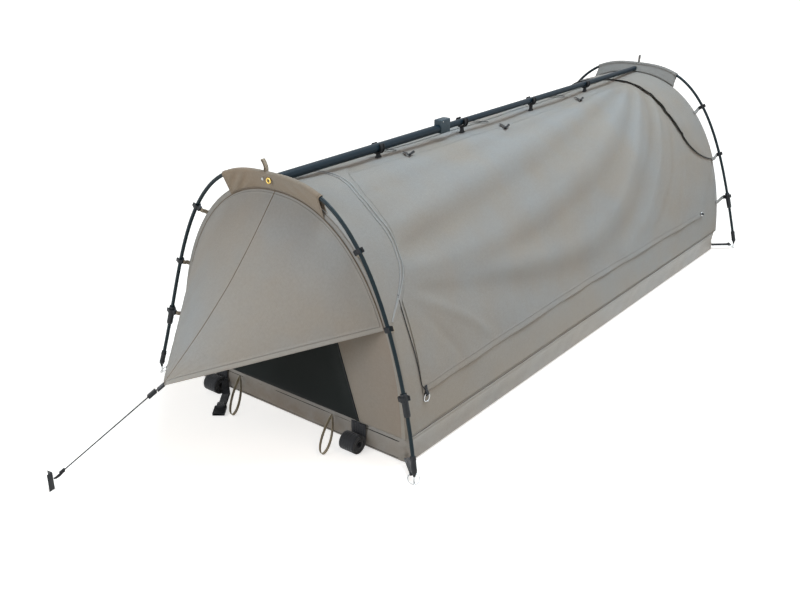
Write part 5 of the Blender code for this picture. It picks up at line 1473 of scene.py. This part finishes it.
def make_tub():
    spots, outs, run = perimeter(HALF_LENGTH, HALF_WIDTH, TUB_CORNER, 0.010)
    inset, z, climb = profile_columns(TUB_PROFILE)
    corners = [np.array((end * HALF_LENGTH, side * HALF_WIDTH)) for name, end, side in CORNERS]
    corner = np.minimum.reduce([np.linalg.norm(spots - spot, axis=1) for spot in corners])
    front = smooth((-outs[:, 0] - 0.6) / 0.4)
    rounding = 0.0085 * smooth((z - 0.040) / 0.040) ** 1.6 + 0.0060 * smooth((0.040 - z) / 0.038) ** 1.3
    depth = inset + tub_sink(run, z, corner) + front * rounding
    flat = spots[None] - outs[None] * depth[..., None]
    points = columns_of(flat[..., 0], flat[..., 1], z)[::-1]
    seam = columns_of(run[None], np.abs(z[::-1] - TUB_RIM))
    weave = columns_of(run[None], climb[::-1])
    item = grid("tub_shell", points, weave, seam, "tub", closed=True)
    with editing(item.data) as shape:
        rim = [edge for edge in shape.edges if edge.is_boundary and max(v.co.z for v in edge.verts) < 0.001]
        base = bmesh.ops.contextual_create(shape, geom=rim)["faces"]
        base = bmesh.ops.triangulate(shape, faces=base)["faces"]
        weave, seam = (shape.loops.layers.uv[name] for name in ("weave", "seam"))
        for loop in [loop for face in base for loop in face.loops]:
            loop[weave].uv = loop.vert.co.xy
            loop[seam].uv = (loop.vert.co.x, TUB_RIM)
        bmesh.ops.recalc_face_normals(shape, faces=shape.faces)
    thicken(item, TUB_SKIN)
    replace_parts(item, "tub")
    straps = [corner_strap(name, end, side) for name, end, side in CORNERS]


def ring_hinge(end, side):
    """A tub corner's centre, the ring's hinge, and the direction from one to the other."""
    foot = hoop_point(side, BOOT_BOTTOM, end)
    corner = Vector((end * (HALF_LENGTH - TUB_CORNER), side * (HALF_WIDTH - TUB_CORNER), 0))
    away = foot - corner
    away.z = 0
    away.normalize()
    tilt = math.asin((RING_HEIGHT - RING_WIRE - PLY_GAP) / RING_REACH)
    hinge = foot - away * (RING_REACH * math.cos(tilt) - RING_WIRE - PIN_RADIUS - PLY_GAP * 2)
    hinge.z = RING_HEIGHT
    return corner, hinge, away


def eye_path(reach, bend, ply, nose, back=None):
    """A ribbon that comes in, turns round a ring's wire and goes back."""
    back = reach if back is None else back
    low = [(-reach, -ply), (-reach * 0.6, -ply), (-bend * 2.2, -ply - bend * 0.05),
           (-bend * 1.2, -ply - bend * 0.45)]
    turn = arc((nose, 0), bend + ply, -90, 90, 18)
    high = [(-bend * 1.2, ply + bend * 0.45), (-bend * 2.2, ply + bend * 0.05), (-back, ply)]
    return low + turn + high


def corner_strap(name, end, side):
    corner, hinge, away = ring_hinge(end, side)
    start = corner + away * (TUB_CORNER - 0.0006)
    reach = (hinge - Vector((start.x, start.y, hinge.z))).length
    path = eye_path(reach, CORNER_BEND, CORNER_PLY, CORNER_NOSE)
    spots = in_frame(flat_frame(hinge, away, UP), path)
    return band_mesh(f"corner_strap_{name}", spots, UP.cross(away), CORNER_STRAP_WIDTH,
                     CORNER_STRAP_THICKNESS, "webbing")


def pad(name, half_length, half_width, base, height, material, corner):
    """A foam slab with eased edges and a slightly crowned top."""
    low = ((0.30, 0.0), (0.12, 0.0), (0.030, 0.0), (0.012, 0.0006), (0.004, 0.0030), (0.0008, 0.0080),
           (0.0, 0.016))
    high = ((0.0, height - 0.016), (0.0008, height - 0.0080), (0.004, height - 0.0030),
            (0.012, height - 0.0006))
    top = tuple((inset, height) for inset in (0.030, 0.070, 0.12, 0.20, 0.30))
    inset, z, climb = profile_columns((*low, (0.0, height * 0.5), *high, *top))
    spots, outs, run = perimeter(half_length, half_width, corner, 0.020)
    most = corner * 0.8
    inner = np.sign(spots) * np.maximum(np.abs(spots) - inset[..., None], 0.0)
    soft = spots[None] - outs[None] * np.minimum(inset, most)[..., None]
    points = np.where((inset > most)[..., None], inner, soft)
    upper = z > height * 0.9
    lift = PAD_CROWN * smooth(inset / 0.25) * upper
    quilt = 0.0012 * np.sin(points[..., 0] * 26) * np.sin(points[..., 1] * 26) * upper * smooth(inset / 0.05)
    points = columns_of(points[..., 0], points[..., 1], base + z + lift + quilt)[::-1]
    weave = columns_of(run[None], climb[::-1])
    item = grid(name, points, weave, weave, material, closed=True)
    with editing(item.data) as shape:
        bmesh.ops.holes_fill(shape, edges=[edge for edge in shape.edges if edge.is_boundary], sides=0)
        bmesh.ops.triangulate(shape, faces=[face for face in shape.faces if len(face.verts) > 4])
        bmesh.ops.recalc_face_normals(shape, faces=shape.faces)
    return item


def make_mattress():
    half_length = HALF_LENGTH - TUB_WALL - MATTRESS_ROOM
    half_width = HALF_WIDTH - TUB_WALL - MATTRESS_ROOM
    cover = pad("mattress_cover_pad", half_length, half_width, PAD_BASE, COVER_HEIGHT, "ticking", PAD_CORNER)
    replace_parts(cover, "mattress_cover")
    foam = pad("mattress_foam_core", half_length - FOAM_INSET, half_width - FOAM_INSET, FOAM_BASE,
               FOAM_HEIGHT, "foam", FOAM_CORNER)
    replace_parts(foam, "mattress_foam")
    half_length, half_width = half_length + EDGE_PIPING_OUT, half_width + EDGE_PIPING_OUT
    spots, outs, run = perimeter(half_length, half_width, PAD_CORNER, 0.030)
    for name, height in EDGE_PIPING_HEIGHTS.items():
        line = [(x, y, PAD_BASE + height) for x, y in np.concatenate([spots, spots[:1]])]
        tube_mesh(f"mattress_piping_{name}", line, EDGE_PIPING_RADIUS, "piping", sides=8)


make_tub()
make_mattress()


# Rolled straps, the strap's end, and the tape loops on the tub's front

ROLL_RADIUS = 0.029
ROLL_TURNS = 4.5
ROLL_PITCH = 0.0042
ROLL_STEPS = 198
ROLL_WIDTH = 0.050
ROLL_THICKNESS = 0.0030
ROLL_PLACES = {"right": -0.275, "left": 0.275}
TUB_FRONT = -HALF_LENGTH - 0.0003
TAIL_START = Vector((-1.0962, 0.2396, 0))
TAIL_END = Vector((-1.172, 0.180, 0))
TAIL_WIDTH = 0.025
TAIL_THICKNESS = 0.0017
TAIL_LAP = 0.022
TAIL_MIDDLE = 0.0072
TAIL_BEND = 0.0069
# Points down the tub's front to the ground, with the ribbon's width direction there
TAIL_RISE = (((-1.0905, 0.2478, 0.046), (1, 0, 0)), ((-1.0905, 0.2478, 0.034), (1, -0.05, 0)),
             ((-1.0907, 0.2476, 0.020), (0.95, -0.25, 0)), ((-1.0916, 0.2464, 0.009), (0.82, -0.55, 0)),
             ((-1.0936, 0.2434, 0.0030), (0.70, -0.70, 0)))
# Name, place along Y, how far it reaches out, and degrees turned over
LOOPS = (("right", -0.180, (-0.095, -0.048), 62), ("left", 0.190, (-0.100, -0.070), 58))
LOOP_FALL = 0.062
LOOP_TOP = 0.070
LOOP_BELLY = 0.021
LOOP_SPREAD = 0.0024
TAPE_WIDTH = 0.0090
TAPE_THICKNESS = 0.0014


def make_roll(name, place):
    path, shift = [], []
    for turns in np.arange(ROLL_STEPS + 1) * ROLL_TURNS / ROLL_STEPS:
        radius = ROLL_RADIUS - ROLL_PITCH * (ROLL_TURNS - turns)
        angle = 2 * math.pi * (turns - ROLL_TURNS % 1)
        path.append((radius * math.cos(angle), radius * math.sin(angle)))
        shift.append(0.0014 * math.sin(turns * 2.3 + place * 9) * (1 - turns / ROLL_TURNS * 0.6))
    for height in np.linspace(0.004, TUB_HEIGHT - ROLL_RADIUS - 0.0020, 9):
        path.append((ROLL_RADIUS, height))
        shift.append(0.0)
    where = flat_frame((TUB_FRONT - ROLL_RADIUS, place, ROLL_RADIUS + PLY_GAP), (1, 0, 0), UP)
    spots = in_frame(where, path)
    spots[:, 1] += shift
    item = band_mesh(f"roll_webbing_{name}", spots, (0.0, 1.0, 0.0), ROLL_WIDTH, ROLL_THICKNESS, "webbing",
                     steps=8)
    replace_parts(item, f"roll_strap_{name}")


def make_tail():
    reach = (TAIL_END - TAIL_START).length
    way = (TAIL_END - TAIL_START).normalized()
    lap = reach - TAIL_LAP
    bottom, top = TAIL_MIDDLE - TAIL_BEND, TAIL_MIDDLE + TAIL_BEND
    path = [(share * reach, bottom + 0.0006 * math.sin(share * 7) ** 2) for share in np.linspace(0, 0.9, 14)]
    path += arc((reach, TAIL_MIDDLE), TAIL_BEND, -90, 90, 22) + [(lap + 0.010, top), (lap, top - 0.0004)]
    flat = in_frame(flat_frame(TAIL_START, way, UP), path)
    rise, sides = (np.array(values) for values in zip(*TAIL_RISE))
    sides = np.concatenate([sides, np.tile(UP.cross(way), (len(flat), 1))])
    item = band_mesh("strap_tail_webbing", np.concatenate([rise, flat]), sides, TAIL_WIDTH, TAIL_THICKNESS,
                     "webbing")
    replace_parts(item, "strap_tail")


def make_tape_loops():
    """Limp loops of tape that bow out to the ground and lie half turned over."""
    for name, place, reach, turned in LOOPS:
        reach = Vector((*reach, 0))
        out = reach.normalized()
        fallen = (reach - UP * LOOP_FALL).normalized()
        turned = math.radians(turned)
        spread = UP * math.cos(turned) + UP.cross(out) * math.sin(turned)
        spread = (spread - fallen * spread.dot(fallen)).normalized()
        start = Vector((TUB_FRONT - 0.0060 * abs(out.y) - PLY_GAP, place, LOOP_TOP))
        spots = []
        for share in np.linspace(0.0, 1.0, 61):
            fall = math.sin(math.pi * share) ** 2
            belly = LOOP_BELLY * math.sin(2 * math.pi * share) * math.sin(math.pi * share) ** 0.7
            away = out * (reach.length * fall + LOOP_SPREAD * share)
            spots.append(start + away - UP * LOOP_FALL * fall - spread * belly)
        item = band_mesh(f"tape_loop_webbing_{name}", spots, spread.cross(fallen), TAPE_WIDTH, TAPE_THICKNESS,
                         "tape_olive")
        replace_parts(item, f"tape_loop_{name}")


for NAME, PLACE in ROLL_PLACES.items():
    make_roll(NAME, PLACE)
make_tail()
make_tape_loops()


# Clips on the hoops, with their tabs

CLIP_ROOM = 0.0004
CLIP_WALL = 0.0042
CLIP_WIDTH = 0.014
CLIP_MOUTH = 40
CLIP_LUG = 0.006
LUG_HALF = 0.0048
TAB_DROP = 0.009
TAB_THICKNESS = 0.0012
TAB_SINK = 0.0006
TAB_ROOM = 0.004


def canvas_distance(centre, inward, end, lift):
    """How far the cloth's edge lies from a clip, along the way inwards."""
    turns = np.linspace(BASE_ANGLE, math.pi - BASE_ANGLE, 700)
    line = plain_face(end * HALF_LENGTH, turns) + face_normal(end * HALF_LENGTH, turns) * lift
    offset = line[:, 1:] - np.array((centre.y, centre.z))
    along = offset @ np.array((inward.y, inward.z))
    lateral = np.abs(offset @ np.array((-inward.z, inward.y)))
    return float(along[(lateral < CLIP_WIDTH / 2) & (along > 0)].min())


def clip_outline(bore, outer, lug):
    """A collar open at its mouth, with a lug on the other side."""
    mouth = 180 - CLIP_MOUTH
    turn = math.radians(mouth)
    lip = (math.cos(turn) * (outer + 0.0016) - 0.0016, math.sin(turn) * (outer + 0.0016) + 0.0006)
    upper = [lip, *arc((0, 0), outer, mouth - 8, 34, 14), (lug, LUG_HALF)]
    lower = [(lug, -LUG_HALF), *arc((0, 0), outer, -34, 8 - mouth, 14), (lip[0], -lip[1])]
    return upper + lower + arc((0, 0), bore, -mouth, mouth, 26)


def make_clip(end, side, rank):
    joint = rank == 0
    height = CLIP_HEIGHTS[rank] + (FERRULE_ABOVE / 2 if joint else 0.0)
    centre = hoop_point(side, height, end)
    along = (hoop_point(side, height + NUDGE, end) - centre).normalized()
    inward = Vector((end, 0, 0)).cross(along).normalized() * (-side * end)
    inward = Vector((0, inward.y, inward.z)).normalized()
    if inward.y * side > 0:
        inward = -inward
    bore = (FERRULE_RADIUS if joint else POLE_RADIUS) + CLIP_ROOM
    outer = bore + CLIP_WALL
    cloth = 0.0 if joint else HOOD_LIFTS[end]
    seat = canvas_distance(centre, inward, end, cloth) - TAB_SINK
    lug = min(outer + CLIP_LUG, seat - TAB_ROOM)
    where = flat_frame(centre, inward, (1, 0, 0))
    outline = np.array(clip_outline(bore, outer, lug)) * (1, -end)
    name = f"{ENDS[end]}_clip_{SIDES[side]}_{rank + 1}"
    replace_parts(prism(f"{name}_body", outline, CLIP_WIDTH, where, 0.0007), name)
    shift = abs(centre.x) - HALF_LENGTH
    knots = [(lug - 0.0030, 0.0), (lug + (seat - lug) * 0.35, shift * 0.30), (seat - 0.0045, shift * 0.82),
             (seat - 0.0020, shift + 0.0015), (seat - 0.0012, shift + 0.0060),
             (seat - 0.0010, shift + 0.0155)]
    path = smooth_path(knots, 26) * (1, -end)
    drop = TAB_DROP * smooth(np.linspace(0.0, 1.6, len(path)))
    spots = in_frame(where, path) - np.array(along) * drop[:, None]
    side = where.to_3x3() @ UP * -end
    band_mesh(f"{name}_tab", spots, side, CLIP_WIDTH, TAB_THICKNESS, END_TAPES[end])


for END in ENDS:
    for SIDE in SIDES:
        for RANK in range(len(CLIP_HEIGHTS)):
            make_clip(END, SIDE, RANK)


# Tie tabs, the toggles, the rear eyelets, and the black cords in front of the flies that paint the shadow
# lines of their front edges

# Distance down from the ridge, then X
CORD_KNOTS = ((0.421, -1.0010), (0.460, -1.0025), (0.501, -1.0030), (0.540, -1.0010), (0.577, -0.9980),
              (0.625, -0.9950), (0.672, -0.9915), (0.690, -0.9850))
CORD_RADIUS = 0.0012
# The tape's start and end on the cloth, each as (x, distance down from the ridge)
TOGGLES = (((-0.543, 0.014), (-0.577, 0.060)), ((-0.017, 0.024), (-0.070, 0.078)),
           ((0.517, 0.022), (0.472, 0.068)))
# Share of the toggle's length, then radius
TOGGLE = ((0.0, 0.0012), (0.02, 0.0028), (0.07, 0.0042), (0.20, 0.0038), (0.5, 0.0034), (0.80, 0.0038),
          (0.93, 0.0042), (0.98, 0.0028), (1.0, 0.0012))
EYELET_X = 0.916
EYELET_DOWN = 0.688
EYELET_LIFT = 0.0062
FLY_EYELET_RADIUS = 0.0074
FLY_EYELET_WIRE = 0.0019
FLY_LOOP_RADIUS = 0.0021
FLY_LOOP_LIFT = 0.0026
TAB_BEND = 0.0035
TAB_PLY = 0.0013
TAB_NOSE = 0.0014
TAB_BACK = 0.010
TAB_LENGTH = 0.024
TAB_EDGE = 0.012
TAB_WIDTH = 0.0105


def down_cloth(x, angle, distance, lift):
    """A point on the plain tunnel a distance down its slope from an angle."""
    turn = math.copysign(NUDGE, QUARTER - angle)
    rate = float(np.linalg.norm(plain_face(x, angle + turn) - plain_face(x, angle))) / turn
    spot = angle - distance / rate
    return Vector(plain_face(x, spot) + face_normal(x, spot) * lift)


def make_tie_tab(name, angle):
    edge = float(fly_front(np.array(angle))) + TAB_EDGE
    hinge = down_cloth(edge, angle, TAB_BEND, TAB_BEND + 0.0012 + PLY_GAP)
    root = down_cloth(edge, angle, TAB_BEND - TAB_LENGTH, 0.0048)
    along = (hinge - root).normalized()
    up = along.cross(Vector((1, 0, 0)))
    if up.dot(Vector(face_normal(edge, angle))) > 0:
        up = -up
    path = eye_path((hinge - root).length, TAB_BEND, TAB_PLY, TAB_NOSE, back=TAB_BACK)
    spots = in_frame(flat_frame(hinge, along, up), path)
    band_mesh(f"tie_tab_{name}", spots, up.cross(along), TAB_WIDTH, 0.0011, "webbing")


def make_fly_shadow_cord(name, side):
    """A thin black cord down in front of the fly's front edge to its ring's tab: it paints the dark shadow
    line that the edge casts there.
    """
    line = []
    knots = np.array(CORD_KNOTS)
    for down in np.linspace(knots[0, 0], knots[-1, 0], 60):
        angle = float(angle_at(down))
        x = float(np.interp(down, knots[:, 0], knots[:, 1]))
        rise = 0.0022 + 0.0036 * float(smooth((down - 0.676) / 0.012))
        rise += 0.0020 * float(smooth((0.435 - down) / 0.012))
        line.append(Vector(cloth_points(x, on_right(angle, side), rise)))
    # A black cord that paints the edge's shadow line.
    cord = tube_mesh(f"fly_shadow_cord_{name}", line, CORD_RADIUS, "rope", sides=10)


def on_side(x, down, side, lift):
    """A point on a side's cloth and its outward direction."""
    turn = on_right(float(angle_at(down)), side)
    return cloth_points(x, turn, lift), face_normal(x, turn)


def make_toggle(name, start, finish, side):
    """A short tape sewn beside the ridge, with a moulded toggle across its end."""
    start, finish = np.array(start), np.array(finish)
    shares = np.linspace(0.0, 1.0, 14)
    found = [on_side(*(start + (finish - start) * share), side, 0.0052 + 0.005 * share) for share in shares]
    line, normals = (np.array(values) for values in zip(*found))
    sides = np.cross(np.gradient(line, axis=0), normals)
    band_mesh(f"toggle_tape_{name}", line, sides, 0.009, 0.0012, "webbing")
    first = on_side(finish[0] - 0.004, finish[1] + 0.002, side, 0.0105)[0]
    last = on_side(finish[0] + 0.034, finish[1] - 0.009, side, 0.0125)[0]
    shares, radii = zip(*TOGGLE)
    spots = [first + (last - first) * share for share in shares]
    tube_mesh(f"toggle_{name}", spots, radii, "plastic", sides=14)


def make_corner_eyelet(name, side):
    """An eyelet and a short black loop at the fly's lower rear corner."""
    spot, out = on_side(EYELET_X, EYELET_DOWN, side, EYELET_LIFT)
    way = on_side(EYELET_X, EYELET_DOWN + 0.004, side, EYELET_LIFT)[0] - spot
    where = flat_frame(spot, np.cross(way, out) * side, way)
    ring = in_frame(where, arc((0, 0), FLY_EYELET_RADIUS, 0, 360, 24))
    tube_mesh(f"fly_eyelet_{name}", ring, FLY_EYELET_WIRE, "steel", sides=8, caps=False)
    path = smooth_path([(-0.012, -0.004), (-0.003, 0.002), (0.004, -0.001), (0.010, 0.006)], 16)
    line = in_frame(where, path) + out * FLY_LOOP_LIFT
    tube_mesh(f"fly_loop_{name}", line, FLY_LOOP_RADIUS, "rope", sides=10)


for SIDE, NAME in SIDES.items():
    make_tie_tab(NAME, on_right(HEM_ANGLE, SIDE))
    make_fly_shadow_cord(NAME, SIDE)
    make_corner_eyelet(NAME, SIDE)
    for RANK, (START, FINISH) in enumerate(TOGGLES):
        make_toggle(f"{NAME}_{RANK + 1}", START, FINISH, SIDE)


# Clips that hang the canvas from the ridge pole

RIDGE_RADII = (0.0130, 0.0130, 0.0110, 0.0110)
RIDGE_CLIP_WALL = 0.0043
RIDGE_CLIP_WIDTH = 0.018
RIB_SHIFT = 0.0075
RIB_WIDTH = 0.0030
FOOT_DEPTH = 0.0090


def make_ridge_clip(name, x, radius):
    """A ribbed collar that snaps over the tube, and the foot sewn to the canvas below it."""
    bore = radius + CLIP_ROOM
    outer = bore + RIDGE_CLIP_WALL
    where = flat_frame((x, 0, RIDGE_HEIGHT), (0, 1, 0), UP)
    outline = arc((0, 0), outer, 132, 408, 40) + arc((0, 0), bore, 408, 132, 40)
    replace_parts(prism(f"{name}_body", outline, RIDGE_CLIP_WIDTH, where, 0.0008), name)
    rib = arc((0, 0), outer + 0.0022, 140, 400, 40) + arc((0, 0), outer - 0.0004, 400, 140, 40)
    for rank, shift in enumerate((-RIB_SHIFT, RIB_SHIFT)):
        spot = flat_frame((x + shift, 0, RIDGE_HEIGHT), (0, 1, 0), UP)
        prism(f"{name}_rib_{rank + 1}", rib, RIB_WIDTH, spot, 0.0009)
    low = float(plain_face(x, QUARTER)[2]) - RIDGE_HEIGHT + 0.0010
    half = [(-0.0050, -outer + 0.0020), (-0.0060, low + 0.0070), (-0.0110, low + 0.0026), (-0.0115, low)]
    foot = half + [(-across, up) for across, up in half[::-1]]
    spot = flat_frame((x + 0.001, 0, RIDGE_HEIGHT), (1, 0, 0), UP)
    prism(f"{name}_foot", foot, FOOT_DEPTH, spot, 0.0010)


for RANK, (PLACE, RADIUS) in enumerate(zip(RIDGE_CLIPS, RIDGE_RADII)):
    make_ridge_clip(f"ridge_clip_{RANK + 1}", PLACE, RADIUS)


# CAD nodes that stay, with rounder shading and better finishes

def smooth_group():
    """Smooth shading with sharp edges kept, as a modifier's node group."""
    tree = bpy.data.node_groups.new("smooth_by_angle", "GeometryNodeTree")
    tree.interface.new_socket("Geometry", in_out="INPUT", socket_type="NodeSocketGeometry")
    tree.interface.new_socket("Geometry", in_out="OUTPUT", socket_type="NodeSocketGeometry")
    source, target, faces, edges, angle, sharp = (tree.nodes.new(kind) for kind in (
        "NodeGroupInput", "NodeGroupOutput", "GeometryNodeSetShadeSmooth", "GeometryNodeSetShadeSmooth",
        "GeometryNodeInputMeshEdgeAngle", "FunctionNodeCompare"))
    edges.domain = "EDGE"
    edges.inputs["Shade Smooth"].default_value = False
    sharp.inputs[1].default_value = math.radians(42)
    tree.links.new(angle.outputs["Unsigned Angle"], sharp.inputs[0])
    tree.links.new(sharp.outputs[0], edges.inputs["Selection"])
    tree.links.new(source.outputs[0], faces.inputs["Geometry"])
    tree.links.new(faces.outputs[0], edges.inputs["Geometry"])
    tree.links.new(edges.outputs[0], target.inputs[0])
    return tree


SMOOTH_GROUP = smooth_group()
# Node, material, rounds of subdivision, and width of the rounded edges
KEPT = (
    *((f"corner_ring_{name}", "steel", 1, 0.0) for name, end, side in CORNERS),
    ("tie_ring_left", "steel", 1, 0.0),
    ("tie_ring_right", "steel", 1, 0.0),
    ("ridge_outer_tube", "tube", 0, 0.0),
    ("ridge_inner_tube", "tube", 0, 0.0),
    ("ridge_front_cap", "plastic", 0, 0.0),
    ("ridge_rear_cap", "plastic", 0, 0.0),
    ("ridge_clamp_body", "clamp", 0, 0.0),
    ("ridge_clamp_lever", "clamp", 0, 0.0005),
    ("ridge_clamp_pin", "steel", 0, 0.0003),
    ("guy_runner", "plastic", 0, 0.0006),
    ("guy_peg", "ferrule", 0, 0.0004),
    ("strap_buckle", "plastic", 0, 0.0),
)


def refine(name, material, rounds, width):
    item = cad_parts[name]
    for holder in item.material_slots:
        holder.material = MATERIALS[material]
    item.modifiers.new("weld", "WELD").merge_threshold = 0.00002
    if rounds:
        finer = item.modifiers.new("finer", "SUBSURF")
        finer.levels = rounds
        finer.render_levels = rounds
    if width:
        round_edges(item, width, 2, 50)
    item.modifiers.new("shading", "NODES").node_group = SMOOTH_GROUP


for ROW in KEPT:
    refine(*ROW)


# Floor, light and view

FLOOR_HALF = 14.0
GLOW_FROM = 1.6
GLOW_TO = 4.5
GLOW_NEAR = 0.62
SKY_STRENGTH = 0.30
SKY_LOW = (0.80, 0.72, 0.65)
SKY_HIGH = (1.04, 0.98, 0.93)
WHITE = (1.0, 1.0, 1.0)
LAMP_SIZE = 2.0
# Name, place, target, power and colour
LAMPS = (
    ("key", (-0.6, -3.4, 3.4), (0, 0, 0.3), 37, (1.0, 0.85, 0.75)),
    ("top", (0.4, -0.9, 4.6), (0, 0, 0.3), 152, (0.70, 0.87, 1.0)),
    ("fill", (-4.4, 0.6, 2.0), (-0.6, 0, 0.3), 66, (0.88, 0.94, 1.0)),
)


def clear_rays(graph):
    """1 for rays from the camera, by mirror or through glass, and 0 for the rest."""
    rays = graph.node("LightPath").outputs
    seen = graph.larger(rays["Is Camera Ray"], rays["Is Transmission Ray"])
    return graph.larger(seen, rays["Is Glossy Ray"])


def make_floor():
    corners = [(x * FLOOR_HALF, y * FLOOR_HALF, 0) for x, y in ((-1, -1), (1, -1), (1, 1), (-1, 1))]
    mesh = bpy.data.meshes.new("floor")
    mesh.from_pydata(corners, [], [(0, 1, 2, 3)])
    floor = bpy.data.objects.new("floor", mesh)
    bpy.context.scene.collection.objects.link(floor)
    graph = Finish("floor_white")
    away = graph.node("VectorMath", graph.place(), operation="LENGTH").outputs["Value"]
    glow = graph.span(away, GLOW_FROM, GLOW_TO, GLOW_NEAR, 1.0)
    material = graph.set(Base_Color=(0.82, 0.79, 0.74), Roughness=1.0, Specular_IOR_Level=0.0,
                         Emission_Color=WHITE, Emission_Strength=graph.times(clear_rays(graph), glow))
    mesh.materials.append(material)


def make_world():
    """A dim warm sky that lights the scene and is white to the camera."""
    world = bpy.data.worlds.new("studio")
    bpy.context.scene.world = world
    world.use_nodes = True
    graph = Graph(world.node_tree)
    back = world.node_tree.nodes["Background"]
    clear = clear_rays(graph)
    sky = graph.mix(graph.parts(graph.place("Generated"))[2], SKY_LOW, SKY_HIGH)
    graph.plug(back.inputs["Color"], graph.mix(clear, sky, WHITE))
    graph.plug(back.inputs["Strength"], graph.span(clear, 0.0, 1.0, SKY_STRENGTH, 1.0))


def make_lamp(name, place, target, power, colour):
    data = bpy.data.lights.new(name, "AREA")
    data.shape = "RECTANGLE"
    data.size = LAMP_SIZE
    data.size_y = LAMP_SIZE
    data.energy = power
    data.color = colour
    item = bpy.data.objects.new(name, data)
    bpy.context.scene.collection.objects.link(item)
    item.location = place
    item.rotation_mode = "QUATERNION"
    item.rotation_quaternion = (Vector(target) - Vector(place)).to_track_quat("-Z", "Y")


make_floor()
make_world()
for ROW in LAMPS:
    make_lamp(*ROW)
bpy.context.scene.view_settings.view_transform = "Standard"
